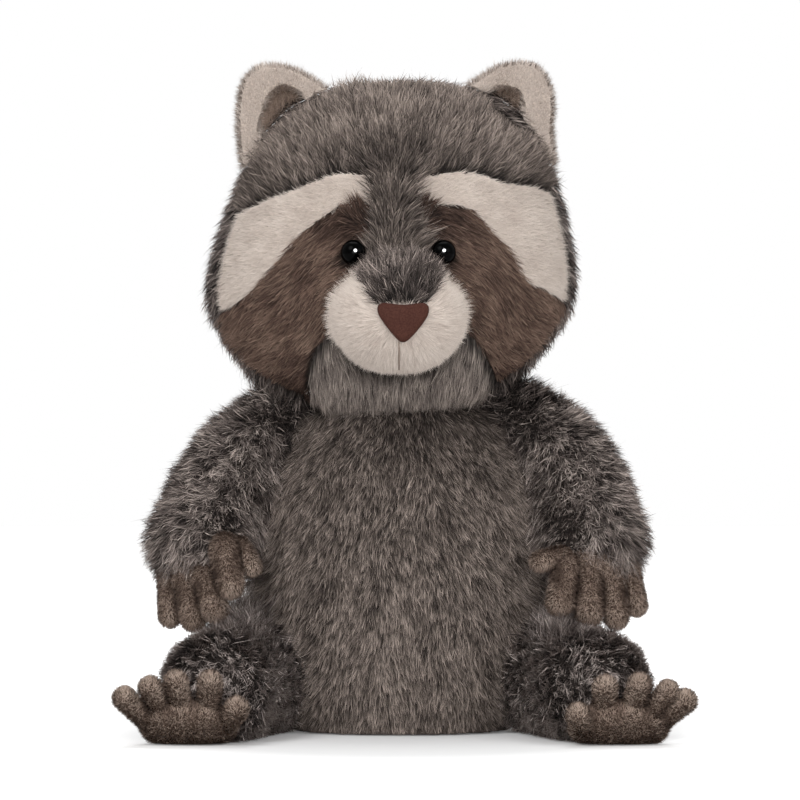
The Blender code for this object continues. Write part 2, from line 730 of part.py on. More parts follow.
def build_ears(toy, cloth, place):
    """Builds the ears, each with a hollow that holds its dark lining."""
    front = EAR_PLACE_Y - EAR_THICKNESS / 2
    back = EAR_PLACE_Y + EAR_THICKNESS / 2
    for side in SIDES:
        outline = closed_line(on_face(EAR_SHAPES[side]), 2)
        hollow = closed_line(on_face(LINING_SHAPES[side]), 2)
        ear = prism(outline, front, back, edge=EAR_EDGE)
        ear = cut(ear, prism(hollow, front - CUT_MARGIN, front + EAR_HOLLOW_DEPTH), head_form(SEAM_GAP))
        finished(ear, f"ear_{side}", cloth["cream"], toy, place)
        seat = front + EAR_HOLLOW_DEPTH - SEAM_GAP
        lining = cut(prism(hollow, seat - LINING_THICKNESS, seat, -SEAM_GAP), head_form(SEAM_GAP))
        finished(lining, f"ear_lining_{side}", cloth["brown"], toy, place)


def build_body(toy, cloth):
    """Builds the body: front and back panels, the base, the filling and its pouch of pellets."""
    wall_bottom = SEAT_THICKNESS + SEAM_GAP
    room = body_form(-FUR_THICKNESS, bottom=-CUT_MARGIN, top=BODY_HEIGHT + CUT_MARGIN)
    shell = cut(body_form(), room)
    shell = cut(shell, ground(wall_bottom))
    for name, low, high in (("torso_front", -REACH, -SEAM_GAP / 2), ("torso_back", SEAM_GAP / 2, REACH)):
        half = crossed(copied(shell), block((-REACH, low, -REACH), (REACH, high, REACH)))
        finished(half, name, cloth["grey"], toy)
    bpy.data.objects.remove(shell)

    seat = cut(body_form(), block((-REACH, -REACH, SEAT_THICKNESS), (REACH, REACH, REACH)))
    finished(seat, "seat_panel", cloth["charcoal"], toy)

    pouch_floor = SEAT_THICKNESS + SEAM_GAP
    filling = cut(body_form(-FUR_THICKNESS - SEAM_GAP), ground(pouch_floor))
    room = ring(0.0, POUCH_RADIUS + SEAM_GAP, pouch_floor + POUCH_HEIGHT + SEAM_GAP, -CUT_MARGIN, Matrix())
    filling = cut(filling, room)
    finished(filling, "body_stuffing", cloth["fibre"], toy)
    half_height = POUCH_HEIGHT / 2
    flat = POUCH_RADIUS - half_height
    angles = [math.pi * step / POUCH_STEPS for step in range(POUCH_STEPS + 1)]
    rounding = [Vector((flat + half_height * math.sin(angle), half_height * math.cos(angle)))
                for angle in angles]
    line = [Vector((0.0, half_height))] + rounding + [Vector((0.0, -half_height))]
    pouch = turned(line, SMALL_STEPS)
    pouch.matrix_world = Matrix.Translation((0.0, 0.0, pouch_floor + half_height))
    finished(baked(pouch), "pellet_pouch", cloth["linen"], toy)


def placed_head_form(offset):
    """Makes the head's form in its place on the body."""
    form = head_form(offset)
    form.matrix_world = head_place()
    return baked(form)


def build_arms(toy, cloth):
    """Builds the arms, which are cut to sit against the body and the head."""
    for side in SIDES:
        arm = cut(arm_form(side), arm_form(side, -FUR_THICKNESS), body_form(SEAM_GAP))
        arm = cut(arm, placed_head_form(SEAM_GAP))
        finished(arm, f"arm_{side}", cloth["charcoal"], toy)
        filling = arm_form(side, -FUR_THICKNESS - SEAM_GAP)
        filling = cut(filling, body_form(SEAM_GAP), placed_head_form(SEAM_GAP))
        finished(filling, f"arm_stuffing_{side}", cloth["fibre"], toy)


def digit_forms(digits, radius, grow=0.0):
    """Makes the digits of a hand or a foot as separate solids."""
    return [tube(line, (radius, radius), DIGIT_SIDES, grow, rings=2) for line in digits]


def paw(palm, digits, radius):
    """Makes a palm with its digits as one solid."""
    solid = ball(palm["middle"], palm["size"], palm["lean"])
    return joined(solid, *digit_forms(digits, radius))


def build_hands(toy, cloth):
    """Builds the hands, sewn to the cuffs."""
    for side in SIDES:
        hand = paw(PALMS[side], DIGITS[side], DIGIT_RADIUS)
        hand = cut(hand, arm_form(side, SEAM_GAP), body_form(SEAM_GAP))
        finished(hand, f"hand_{side}", cloth["velour"], toy)


def build_legs(toy, cloth):
    """Builds the legs, which rest on the ground, sit against the body and give way under the fingers."""
    for side in SIDES:
        leg = cut(leg_form(side), leg_form(side, -FUR_THICKNESS), body_form(SEAM_GAP), ground())
        leg = cut(leg, *digit_forms(DIGITS[side], DIGIT_RADIUS, SEAM_GAP))
        finished(leg, f"leg_{side}", cloth["charcoal"], toy)
        filling = leg_form(side, -FUR_THICKNESS - SEAM_GAP)
        finished(cut(filling, body_form(SEAM_GAP)), f"leg_stuffing_{side}", cloth["fibre"], toy)


def build_feet(toy, cloth):
    """Builds the feet, with their toes up, in front of the legs."""
    for side in SIDES:
        foot = cut(paw(SOLES[side], TOES[side], TOE_RADIUS), leg_form(side, SEAM_GAP), ground())
        finished(foot, f"foot_{side}", cloth["velour"], toy)


def tail_start():
    """Returns where the tail's form starts along Y, inside the body."""
    return BODY_HALF_WIDTH * BODY_SQUASH - TAIL_ROOT_DEPTH


def tail_form(offset=0.0):
    """Makes the tail as a solid that runs back from the body along the ground."""
    shares = ((0.0, 1.0), (0.45, 0.985), (0.78, 0.90), (0.97, 0.70), (1.0, 0.45), (0.92, 0.20), (0.84, 0.0))
    knots = [(share * TAIL_RADIUS, along * TAIL_LENGTH) for share, along in shares]
    line = offset_profile(smooth_line(knots, 2), offset)
    line.append(Vector((0.0, line[-1].y)))
    form = turned(line, LIMB_INNER_SIDES if offset < 0 else LIMB_SIDES)
    root = Matrix.Translation((0.0, tail_start(), TAIL_RADIUS - TAIL_PRESS))
    form.matrix_world = root @ Matrix.Rotation(-math.pi / 2, 4, "X")
    return baked(form)


def build_tail(toy, cloth):
    """Builds the tail from bands of two furs round its filling."""
    shell = cut(tail_form(), tail_form(-FUR_THICKNESS), body_form(SEAM_GAP), ground())
    sewn_on = BODY_HALF_WIDTH * BODY_SQUASH
    band = (tail_start() + TAIL_LENGTH - sewn_on) / TAIL_BANDS
    for index in range(TAIL_BANDS):
        low = -REACH if index == 0 else sewn_on + index * band + SEAM_GAP / 2
        high = REACH if index == TAIL_BANDS - 1 else sewn_on + (index + 1) * band - SEAM_GAP / 2
        piece = crossed(copied(shell), block((-REACH, low, -REACH), (REACH, high, REACH)))
        fur = cloth["charcoal"] if index % 2 else cloth["grey"]
        finished(piece, f"tail_band_{index + 1}", fur, toy)
    bpy.data.objects.remove(shell)
    filling = cut(tail_form(-FUR_THICKNESS - SEAM_GAP), body_form(SEAM_GAP))
    finished(filling, "tail_stuffing", cloth["fibre"], toy)


def build_raccoon():
    """Builds the whole toy."""
    for item in list(bpy.data.objects):
        bpy.data.objects.remove(item)
    toy = collection_named("plush_raccoon")
    cloth = {
        "grey": material("grey_fur", FUR_GREY, 0.95),
        "charcoal": material("charcoal_fur", FUR_CHARCOAL, 0.95),
        "cream": material("cream_fur", FUR_CREAM, 0.95),
        "brown": material("brown_fur", FUR_BROWN, 0.95),
        "velour": material("brown_velour", VELOUR_BROWN, 0.90),
        "nose": material("nose_cloth", NOSE_BROWN, 0.60),
        "eye": material("eye_plastic", BLACK, 0.06),
        "washer": material("washer_plastic", BLACK, 0.45),
        "fibre": material("filling_fibre", FIBRE_WHITE, 1.0),
        "linen": material("pouch_cloth", LINEN, 0.90),
    }
    build_head(toy, cloth)
    build_body(toy, cloth)
    build_arms(toy, cloth)
    build_hands(toy, cloth)
    build_legs(toy, cloth)
    build_feet(toy, cloth)
    build_tail(toy, cloth)


build_raccoon()
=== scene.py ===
"""Looks of a sitting plush raccoon: stuffed forms, a pile of single strands on each panel, eyes and nose.

Metres, +Z up. The toy faces -Y, and its left side is +X. Every panel of fur stands on the backing cloth of
its stuffed form, which is drawn in from the CAD surface by the depth of the pile.
"""

import sys

import logging
import math
from dataclasses import dataclass, field
from enum import Enum

import bmesh
import bpy
import numpy as np
from mathutils import Matrix, Vector
from mathutils.bvhtree import BVHTree
from mathutils.kdtree import KDTree


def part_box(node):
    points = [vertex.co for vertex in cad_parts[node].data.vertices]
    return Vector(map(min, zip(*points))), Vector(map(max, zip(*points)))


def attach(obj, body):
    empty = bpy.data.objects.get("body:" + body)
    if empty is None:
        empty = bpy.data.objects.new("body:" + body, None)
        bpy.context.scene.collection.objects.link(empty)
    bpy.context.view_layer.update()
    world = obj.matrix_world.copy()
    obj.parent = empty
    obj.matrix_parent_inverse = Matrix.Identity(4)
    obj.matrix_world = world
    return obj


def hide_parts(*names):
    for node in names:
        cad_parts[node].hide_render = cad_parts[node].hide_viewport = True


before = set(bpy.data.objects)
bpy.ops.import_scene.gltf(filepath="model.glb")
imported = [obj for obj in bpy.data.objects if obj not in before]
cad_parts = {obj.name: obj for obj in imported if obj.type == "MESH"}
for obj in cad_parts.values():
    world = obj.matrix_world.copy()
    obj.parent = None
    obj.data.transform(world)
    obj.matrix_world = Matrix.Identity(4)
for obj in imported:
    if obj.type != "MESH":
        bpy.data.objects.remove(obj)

BODY = "root"
SIDES = {"left": 1.0, "right": -1.0}
GROUND_CLEARANCE = 0.0003
SAME_PLACE = 1e-6
SPOT_SLOPE = 1.6
LOG = logging.getLogger("raccoon")

Triple = tuple[float, float, float]
Array = np.ndarray


class Slot(Enum):
    """The record's material slots, one named in each coat."""

    GREY = "grey_fur"
    CHARCOAL = "charcoal_fur"
    CREAM = "cream_fur"
    BROWN = "brown_fur"
    VELOUR = "brown_velour"
    NOSE = "nose_cloth"
    EYE = "eye_plastic"
    FILLING = "filling"


def unit(vectors: Array) -> Array:
    """Scales vectors, one in each row, to length one."""
    lengths = np.linalg.norm(vectors, axis=1, keepdims=True)
    return vectors / np.maximum(lengths, 1e-9)


def flattened(vectors: Array, normals: Array) -> Array:
    """Lays vectors into the surface that has the given normals, as unit vectors."""
    upright = np.sum(vectors * normals, axis=1, keepdims=True)
    return unit(vectors - normals * upright)


def wander(places: Array, size: float, seed: int) -> Array:
    """Makes a smooth random pattern in space.

    Args:
        places: Points, one in each row.
        size: The pattern's grain, in metres.
        seed: Picks one pattern.

    Returns:
        A value at each point, mostly from -1 to 1.
    """
    chance = np.random.default_rng(seed)
    waves, slowest, fastest, calm = 7, 0.55, 1.6, 1.6
    total = np.zeros(len(places))
    for _ in range(waves):
        way = chance.normal(size=3)
        way /= np.linalg.norm(way)
        pace = 2 * math.pi / size * chance.uniform(slowest, fastest)
        total += np.sin(places @ way * pace + chance.uniform(0, 2 * math.pi))
    return total / math.sqrt(waves / 2) / calm


def surface(mesh: bpy.types.Mesh) -> tuple[Array, Array]:
    """Reads a mesh's points and its normals there.

    Args:
        mesh: The mesh.

    Returns:
        The points and the normals, one in each row.
    """
    places = np.zeros(len(mesh.vertices) * 3)
    mesh.vertices.foreach_get("co", places)
    normals = np.zeros(len(mesh.vertices) * 3)
    mesh.vertices.foreach_get("normal", normals)
    return places.reshape(-1, 3), normals.reshape(-1, 3)


def set_points(mesh: bpy.types.Mesh, places: Array) -> None:
    """Moves a mesh's points to new places, of which each row holds one."""
    mesh.vertices.foreach_set("co", places.astype(np.float32).ravel())
    mesh.update()


def edge_ends(mesh: bpy.types.Mesh) -> Array:
    """Reads the two points of each edge.

    Args:
        mesh: The mesh.

    Returns:
        The numbers of the points, one edge in each row.
    """
    ends = np.zeros(len(mesh.edges) * 2, np.int32)
    mesh.edges.foreach_get("vertices", ends)
    return ends.reshape(-1, 2)


def finished(work: bmesh.types.BMesh, name: str) -> bpy.types.Mesh:
    """Turns a working mesh into one for an object, and frees it.

    Args:
        work: The working mesh.
        name: The new mesh's name.

    Returns:
        The new mesh.
    """
    mesh = bpy.data.meshes.new(name)
    work.to_mesh(mesh)
    work.free()
    return mesh


def join(whole: bmesh.types.BMesh, part: bmesh.types.BMesh) -> None:
    """Adds a working mesh to another, and frees it.

    Args:
        whole: The mesh that grows.
        part: The mesh that is added.
    """
    mesh = finished(part, "part")
    whole.from_mesh(mesh)
    bpy.data.meshes.remove(mesh)


def solid(node: str) -> bmesh.types.BMesh:
    """Copies a CAD node into a working mesh and merges its doubled corners.

    Args:
        node: The node's name.

    Returns:
        The working mesh.
    """
    work = bmesh.new()
    work.from_mesh(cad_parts[node].data)
    bmesh.ops.remove_doubles(work, verts=work.verts[:], dist=SAME_PLACE)
    return work


def ball(segments: int, rings: int, radius: float = 1.0) -> bmesh.types.BMesh:
    """Makes a round ball.

    Args:
        segments: Its faces round the upright axis.
        rings: Its faces from pole to pole.
        radius: Its radius.

    Returns:
        The working mesh.
    """
    work = bmesh.new()
    bmesh.ops.create_uvsphere(work, u_segments=segments, v_segments=rings, radius=radius)
    return work


def new_object(name: str, mesh: bpy.types.ID) -> bpy.types.Object:
    """Places a mesh, lamp, camera or curve in the scene, at the origin.

    Args:
        name: The object's name.
        mesh: What it shows.

    Returns:
        The object.
    """
    made = bpy.data.objects.new(name, mesh)
    bpy.context.scene.collection.objects.link(made)
    return made


def even_out(item: bpy.types.Object, voxel: float, rounds: int = 0) -> None:
    """Adds the modifiers that remesh an object into one even surface and smooth it.

    Args:
        item: The object.
        voxel: The size of the new faces.
        rounds: How often it is smoothed.
    """
    remesh = item.modifiers.new("Remesh", "REMESH")
    remesh.mode = "VOXEL"
    remesh.voxel_size = voxel
    if rounds:
        relax = item.modifiers.new("Smooth", "SMOOTH")
        relax.iterations = rounds


def puff(item: bpy.types.Object, depth: float) -> None:
    """Adds the modifier that moves a surface out.

    Args:
        item: The object.
        depth: How far its surface moves.
    """
    modifier = item.modifiers.new("Displace", "DISPLACE")
    modifier.strength = depth
    modifier.mid_level = 0.0


def cover(mesh: bpy.types.Mesh, material: bpy.types.Material) -> None:
    """Gives a mesh its one material and smooth shading.

    Args:
        mesh: The mesh.
        material: The material.
    """
    mesh.materials.clear()
    mesh.materials.append(material)
    mesh.shade_smooth()


def add_node(tree: bpy.types.NodeTree, kind: str, inputs: dict[str | int, float | Triple] | None = None,
             **settings: str) -> bpy.types.Node:
    """Adds a shader node.

    Args:
        tree: The node tree.
        kind: The node's type, without its prefix.
        inputs: The values of its sockets.
        settings: The node's own settings.

    Returns:
        The node.
    """
    node = tree.nodes.new(f"ShaderNode{kind}")
    for name, value in settings.items():
        setattr(node, name, value)
    for name, value in (inputs or {}).items():
        node.inputs[name].default_value = value
    return node


def link(tree: bpy.types.NodeTree, *pairs: tuple) -> None:
    """Links pairs of an output and an input."""
    for output, end in pairs:
        tree.links.new(output, end)


def start_material(
        name: str, roughness: float, shine: float,
) -> tuple[bpy.types.Material, bpy.types.NodeTree, bpy.types.Node]:
    """Starts a material.

    Args:
        name: The material's name.
        roughness: Its roughness.
        shine: Its specular level.

    Returns:
        The material, its node tree and its Principled shader.
    """
    made = bpy.data.materials.new(name)
    made.use_nodes = True
    shader = made.node_tree.nodes["Principled BSDF"]
    shader.inputs["Roughness"].default_value = roughness
    shader.inputs["Specular IOR Level"].default_value = shine
    return made, made.node_tree, shader


def ramp_node(tree: bpy.types.NodeTree, stops: tuple[tuple[float, Triple], ...]) -> bpy.types.Node:
    """Adds a colour ramp.

    Args:
        tree: The material's node tree.
        stops: Pairs of a place from 0 to 1 and a linear colour.

    Returns:
        The ramp node.
    """
    ramp = add_node(tree, "ValToRGB")
    elements = ramp.color_ramp.elements
    while len(elements) < len(stops):
        elements.new(0.5)
    for element, (place, colour) in zip(elements, stops):
        element.position = place
        element.color = (*colour, 1.0)
    return ramp


def grain_node(tree: bpy.types.NodeTree, scale: float, detail: float = 2.0) -> bpy.types.Node:
    """Adds noise on object coordinates.

    Args:
        tree: The material's node tree.
        scale: The noise's scale.
        detail: Its detail.

    Returns:
        The noise node.
    """
    place = add_node(tree, "TexCoord")
    noise = add_node(tree, "TexNoise", {"Scale": scale, "Detail": detail})
    link(tree, (place.outputs["Object"], noise.inputs["Vector"]))
    return noise


@dataclass(frozen=True)
class FurFinish:
    """Strands that run from a dark root to a pale tip, in tones from dark to pale; the darkening towards the
    root is partly the fur's own colour and partly painted shade deep in the pile.
    """

    name: str
    dark: Triple
    middle: Triple
    pale: Triple
    # root_shade and reach_shade darken each strand towards its root: partly the fur's own dark base, partly
    # painted shade for the depth of the pile.
    root_shade: float = 0.13
    root_band: float = 0.22
    reach_shade: float = 0.72
    root_reach: float = 0.75
    roughness: float = 0.80
    shine: float = 0.15

    def material(self) -> bpy.types.Material:
        """Makes the strands' material, which reads each strand's tone and the way along it.

        Returns:
            The material.
        """
        made, tree, shader = start_material(self.name, self.roughness, self.shine)
        tone = add_node(tree, "Attribute", attribute_name="tone")
        along = add_node(tree, "Attribute", attribute_name="along")
        tones = ramp_node(tree, ((0.0, self.dark), (0.5, self.middle), (1.0, self.pale)))
        # Darker towards the root: partly the fur's own colour, partly painted shade deep in the pile.
        depth = ramp_node(tree, ((self.root_band, (self.root_shade,) * 3),
                                 (self.root_reach, (self.reach_shade,) * 3), (1.0, (1.0,) * 3)))
        both = add_node(tree, "Mix", {"Factor": 1.0}, data_type="RGBA", blend_type="MULTIPLY")
        link(tree, (tone.outputs["Fac"], tones.inputs["Fac"]), (along.outputs["Fac"], depth.inputs["Fac"]),
             (tones.outputs["Color"], both.inputs[6]), (depth.outputs["Color"], both.inputs[7]),
             (both.outputs[2], shader.inputs["Base Color"]))
        return made


@dataclass(frozen=True)
class ClothFinish:
    """Plain cloth or felt with a fine grain: backing cloth, filling or linen."""

    name: str
    dark: Triple
    pale: Triple
    grain: float = 0.0012
    bump: float = 0.4
    roughness: float = 0.95
    shine: float = 0.10

    def material(self) -> bpy.types.Material:
        """Makes the cloth's material, with its grain on object coordinates.

        Returns:
            The material.
        """
        made, tree, shader = start_material(self.name, self.roughness, self.shine)
        noise = grain_node(tree, 1.0 / self.grain, 4.0)
        colours = ramp_node(tree, ((0.35, self.dark), (0.65, self.pale)))
        bump = add_node(tree, "Bump", {"Strength": self.bump, "Distance": self.grain / 4})
        link(tree, (noise.outputs["Fac"], colours.inputs["Fac"]),
             (colours.outputs["Color"], shader.inputs["Base Color"]),
             (noise.outputs["Fac"], bump.inputs["Height"]), (bump.outputs["Normal"], shader.inputs["Normal"]))
        return made


@dataclass(frozen=True)
class GlossFinish:
    """Polished dark plastic."""

    name: str
    colour: Triple
    roughness: float
    shine: float = 0.3
    noise_scale: float = 300.0
    smoothest: float = 0.8
    roughest: float = 1.3

    def material(self) -> bpy.types.Material:
        """Makes the plastic's material, whose gloss varies a little.

        Returns:
            The material.
        """
        made, tree, shader = start_material(self.name, self.roughness, self.shine)
        noise = grain_node(tree, self.noise_scale)
        spread = add_node(tree, "MapRange", {"To Min": self.roughness * self.smoothest,
                                             "To Max": self.roughness * self.roughest})
        link(tree, (noise.outputs["Fac"], spread.inputs["Value"]),
             (spread.outputs["Result"], shader.inputs["Roughness"]))
        shader.inputs["Base Color"].default_value = (*self.colour, 1.0)
        return made


@dataclass(frozen=True)
class Spot:
    """A rounded place where the pile differs: paler or darker, longer, more upright, or pushed one way."""

    middle: Triple
    reach: Triple
    tone: float = 0.0
    longer: float = 0.0
    lift: float = 0.0
    push: Triple = (0.0, 0.0, 0.0)

    def share(self, places: Array) -> Array:
        """Returns how far each place lies in the spot, from 0, outside it, to 1."""
        away = np.linalg.norm((places - np.array(self.middle)) / np.array(self.reach), axis=1)
        return np.clip(SPOT_SLOPE * (1 - away), 0.0, 1.0)


@dataclass(frozen=True)
class Lay:
    """The way that a pile is combed: a flow, a fan that opens away from a middle, and the spots in it."""

    flow: Triple
    middle: Triple = (0.0, 0.0, 0.0)
    fan: Triple = (0.0, 0.0, 0.0)
    stray: float = 10.0
    swirl: float = 8.0
    swirl_size: float = 0.03
    spots: tuple[Spot, ...] = ()

    def change(self, what: str, places: Array) -> Array:
        """Adds up what the spots change.

        Args:
            what: The name of the spots' field.
            places: The strands' roots.

        Returns:
            The change at each root.
        """
        total = np.zeros((len(places), 3)) if what == "push" else np.zeros(len(places))
        for spot in self.spots:
            total += np.multiply.outer(spot.share(places), getattr(spot, what))
        return total

    def directions(self, places: Array, normals: Array, chance: np.random.Generator) -> Array:
        """Returns the way that each strand is combed.

        Args:
            places: The strands' roots.
            normals: The surface's normals there.
            chance: The seeded source of chance.

        Returns:
            Unit vectors along the surface.
        """
        wanted = np.array(self.flow) + (places - np.array(self.middle)) * np.array(self.fan)
        along = flattened(wanted, normals)
        across = np.cross(normals, along)
        turn = np.radians(self.swirl) * wander(places, self.swirl_size, 5)
        turn += np.radians(self.stray) * chance.normal(size=len(places))
        return along * np.cos(turn)[:, None] + across * np.sin(turn)[:, None]


@dataclass(frozen=True)
class Coat:
    """A pile of strands: how long, wide, dense and upright, and how it gathers and varies."""

    finish: FurFinish
    slot: Slot
    length: float
    width: float
    density: float
    lift: float
    droop: float = 0.25
    uneven: float = 0.18
    curl: float = 0.10
    roll: float = 25.0
    steps: int = 2
    straight: float = 0.6
    clump_size: float = 0.0
    clump_pull: float = 0.0
    clump_tone: float = 0.12
    strand_tone: float = 0.16
    mottle: float = 0.10
    mottle_size: float = 0.012
    middle_tone: float = 0.5
    stray_share: float = 0.04
    stray_length: float = 1.3
    surface_share: float = 0.55


class Strand:
    """One strand of the pile: a narrow blade that ends in a point."""

    def __init__(self, steps: int) -> None:
        """Makes the blade from a grid whose far edge is merged.

        Args:
            steps: How many stretches the blade has along its length.
        """
        work = bmesh.new()
        bmesh.ops.create_grid(work, x_segments=1, y_segments=steps, size=1.0)
        far = [vert for vert in work.verts if vert.co.y > 0.99]
        bmesh.ops.pointmerge(work, verts=far, merge_co=(0.0, 1.0, 0.0))
        work.verts.ensure_lookup_table()
        places = np.array([vert.co[:] for vert in work.verts])
        self.across = places[:, 0]
        self.along = (places[:, 1] + 1) / 2
        faces = [[vert.index for vert in face.verts][::-1 if face.normal.z < 0 else 1] for face in work.faces]
        work.free()
        self.corners = np.concatenate(faces)
        self.sizes = np.array([len(face) for face in faces])


@dataclass
class Form:
    """A stuffed form: the CAD nodes that it stands for, and its backing cloth under the pile."""

    name: str
    nodes: tuple[str, ...]
    filler: tuple[str, ...]
    voxel: float
    inset: float
    smooth: int = 4
    contact: float = 0.0010
    overlap: float = 0.0006
    cloth_voxel: float = 0.0045
    cloth_move: float = 0.0016
    pressure: float = 30.0
    mass: float = 0.02
    stiffness: float = 1.0
    steps: int = 20
    skin: bpy.types.Object | None = None
    tree: BVHTree | None = None
    labels: BVHTree | None = None
    owners: list[int] = field(default_factory=list)
    low: Array | None = None
    high: Array | None = None

    def build(self) -> None:
        """Remeshes the nodes into one form."""
        work = bmesh.new()
        for node in self.nodes + self.filler:
            join(work, solid(node))
        self.skin = new_object(f"{self.name}_skin", finished(work, f"{self.name}_skin"))
        even_out(self.skin, self.voxel, self.smooth)
        self.settle(self.skin)
        self.tree = BVHTree.FromObject(self.skin, bpy.context.evaluated_depsgraph_get())
        corners = surface(self.skin.data)[0]
        self.low, self.high = corners.min(0), corners.max(0)
        self.label()

    def swell(self, others: tuple["Form", ...]) -> None:
        """Stuffs the form: cloth under pressure swells between its seams, which are held.

        Args:
            others: The forms that it touches, where it is held too.
        """
        pad = new_object(f"{self.name}_pad", self.skin.data.copy())
        even_out(pad, self.cloth_voxel)
        self.settle(pad)
        start, normals = surface(pad.data)
        at_seam = self.seams(pad.data)
        held = at_seam | (start[:, 2] < self.cloth_voxel)
        for other in others:
            held |= other.holds(start + normals * self.cloth_voxel)
        pad.vertex_groups.new(name="held").add(np.flatnonzero(held).tolist(), 1.0, "REPLACE")
        cloth = pad.modifiers.new("Cloth", "CLOTH")
        cloth.settings.vertex_group_mass = "held"
        cloth.settings.use_pressure = True
        cloth.settings.uniform_pressure_force = self.pressure
        cloth.settings.mass = self.mass
        cloth.settings.tension_stiffness = cloth.settings.compression_stiffness = self.stiffness
        cloth.settings.shear_stiffness = self.stiffness / 2
        cloth.settings.bending_stiffness = self.stiffness / 20
        cloth.settings.effector_weights.gravity = 0.0
        cloth.collision_settings.use_collision = False
        for step in range(1, self.steps + 1):
            bpy.context.scene.frame_set(step)
        stuffed = pad.evaluated_get(bpy.context.evaluated_depsgraph_get())
        moves = np.sum((surface(stuffed.data)[0] - start) * normals, axis=1)
        LOG.info("%s: cloth moves %.2f to %.2f mm", self.name, moves.min() * 1000, moves.max() * 1000)
        moves = np.clip(moves, 0.0, self.cloth_move) - self.cloth_move / 4
        moves[held] = np.where(at_seam[held], -self.cloth_move / 2, 0.0)
        bpy.context.scene.frame_set(1)
        self.follow(start, moves)
        old = pad.data
        bpy.data.objects.remove(pad)
        bpy.data.meshes.remove(old)

    def follow(self, start: Array, moves: Array) -> None:
        """Moves the form's points as the cloth near them moved.

        Args:
            start: The cloth's points before it was stuffed.
            moves: How far each of them went outwards.
        """
        neighbours, least = 5, 0.0005
        near = KDTree(len(start))
        for index, place in enumerate(start):
            near.insert(place, index)
        near.balance()
        mesh = self.skin.data
        places, ways = surface(mesh)
        for index, place in enumerate(places):
            found = near.find_n(place, neighbours)
            weights = [1.0 / (far + least) ** 2 for _, _, far in found]
            total = sum(weight * moves[number] for weight, (_, number, _) in zip(weights, found))
            places[index] += ways[index] * (total / sum(weights))
        set_points(mesh, places)

    def panel(self, place: Vector) -> int:
        """Returns the number of the panel that is nearest to a place."""
        return self.owners[self.labels.find_nearest(place)[2]]

    def seams(self, mesh: bpy.types.Mesh) -> Array:
        """Says which of a mesh's points lie at the seam between two panels.

        Args:
            mesh: A mesh of the form.

        Returns:
            True for each point at a seam.
        """
        panel = np.array([self.panel(vert.co) for vert in mesh.vertices])
        edges = edge_ends(mesh)
        crossing = edges[panel[edges[:, 0]] != panel[edges[:, 1]]]
        at_seam = np.zeros(len(panel), bool)
        at_seam[crossing.ravel()] = True
        return at_seam

    def draw_in(self, others: tuple["Form", ...], cloths: dict[str, bpy.types.Material], fill: float) -> None:
        """Draws the form in to make the backing cloth, except where it is sewn to others or rests.

        Args:
            others: The forms that it touches.
            cloths: The backing cloth's material on each node, and under "" for the rest.
            fill: How tightly the form is stuffed; not used.
        """
        self.swell(others)
        mesh = self.skin.data
        count = len(mesh.vertices)
        places, normals = surface(mesh)
        free = np.ones(count)
        for other in others:
            free[other.holds(places + normals * (self.inset + self.contact))] = 0.0
        facing_down, rounds = -0.7, 3
        free[(places[:, 2] < self.contact) & (normals[:, 2] < facing_down)] = 0.0
        edges = edge_ends(mesh)
        links = np.bincount(edges.ravel(), minlength=count)
        for _ in range(rounds):
            total = np.bincount(edges[:, 0], free[edges[:, 1]], count)
            total += np.bincount(edges[:, 1], free[edges[:, 0]], count)
            free = (free + total / links) / 2
        offset = self.overlap - (self.inset + self.overlap) * free
        places += normals * offset[:, None]
        places[:, 2] = np.maximum(places[:, 2], GROUND_CLEARANCE)
        set_points(mesh, places)
        mesh.materials.clear()
        for cloth in cloths.values():
            mesh.materials.append(cloth)
        order = {node: index for index, node in enumerate(cloths)}
        for face in mesh.polygons:
            owner = self.nodes[self.panel(face.center + face.normal * self.inset)]
            face.material_index = order.get(owner, 0)
        mesh.shade_smooth()
        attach(self.skin, BODY)
        LOG.info("%s_skin: %d triangles", self.name, 2 * len(mesh.polygons))

    @staticmethod
    def settle(item: bpy.types.Object) -> None:
        """Applies an object's modifiers and keeps only its largest, outer surface.

        Args:
            item: The object.
        """
        bpy.context.view_layer.update()
        seen = item.evaluated_get(bpy.context.evaluated_depsgraph_get())
        mesh = bpy.data.meshes.new_from_object(seen)
        item.modifiers.clear()
        old = item.data
        item.data = mesh
        mesh.name = old.name
        bpy.data.meshes.remove(old)
        work = bmesh.new()
        work.from_mesh(mesh)
        islands: list[list[bmesh.types.BMVert]] = []
        met: set[int] = set()
        for vert in work.verts:
            if vert.index in met:
                continue
            island = [vert]
            met.add(vert.index)
            for near in island:
                for edge in near.link_edges:
                    other = edge.other_vert(near)
                    if other.index not in met:
                        met.add(other.index)
                        island.append(other)
            islands.append(island)
        islands.sort(key=len)
        spare = [vert for island in islands[:-1] for vert in island]
        bmesh.ops.delete(work, geom=spare, context="VERTS")
        work.to_mesh(mesh)
        work.free()

    def label(self) -> None:
        """Keeps the CAD panels' faces, by which each strand finds the panel that it grows on."""
        points: list[Vector] = []
        faces: list[tuple[int, ...]] = []
        for index, node in enumerate(self.nodes):
            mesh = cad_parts[node].data
            first = len(points)
            points += [vert.co.copy() for vert in mesh.vertices]
            faces += [tuple(first + corner for corner in face.vertices) for face in mesh.polygons]
            self.owners += [index] * len(mesh.polygons)
        self.labels = BVHTree.FromPolygons(points, faces)

    def holds(self, places: Array) -> Array:
        """Says which points lie inside the form.

        Args:
            places: Points, one in each row.

        Returns:
            True for each point inside.
        """
        near = np.all((places > self.low) & (places < self.high), axis=1)
        inside = np.zeros(len(places), bool)
        for index in np.flatnonzero(near):
            inside[index] = self.within(Vector(places[index]))
        return inside

    def within(self, place: Vector) -> bool:
        """Says whether a point lies inside the form."""
        near, normal, _, _ = self.tree.find_nearest(place)
        return (place - near).dot(normal) < 0

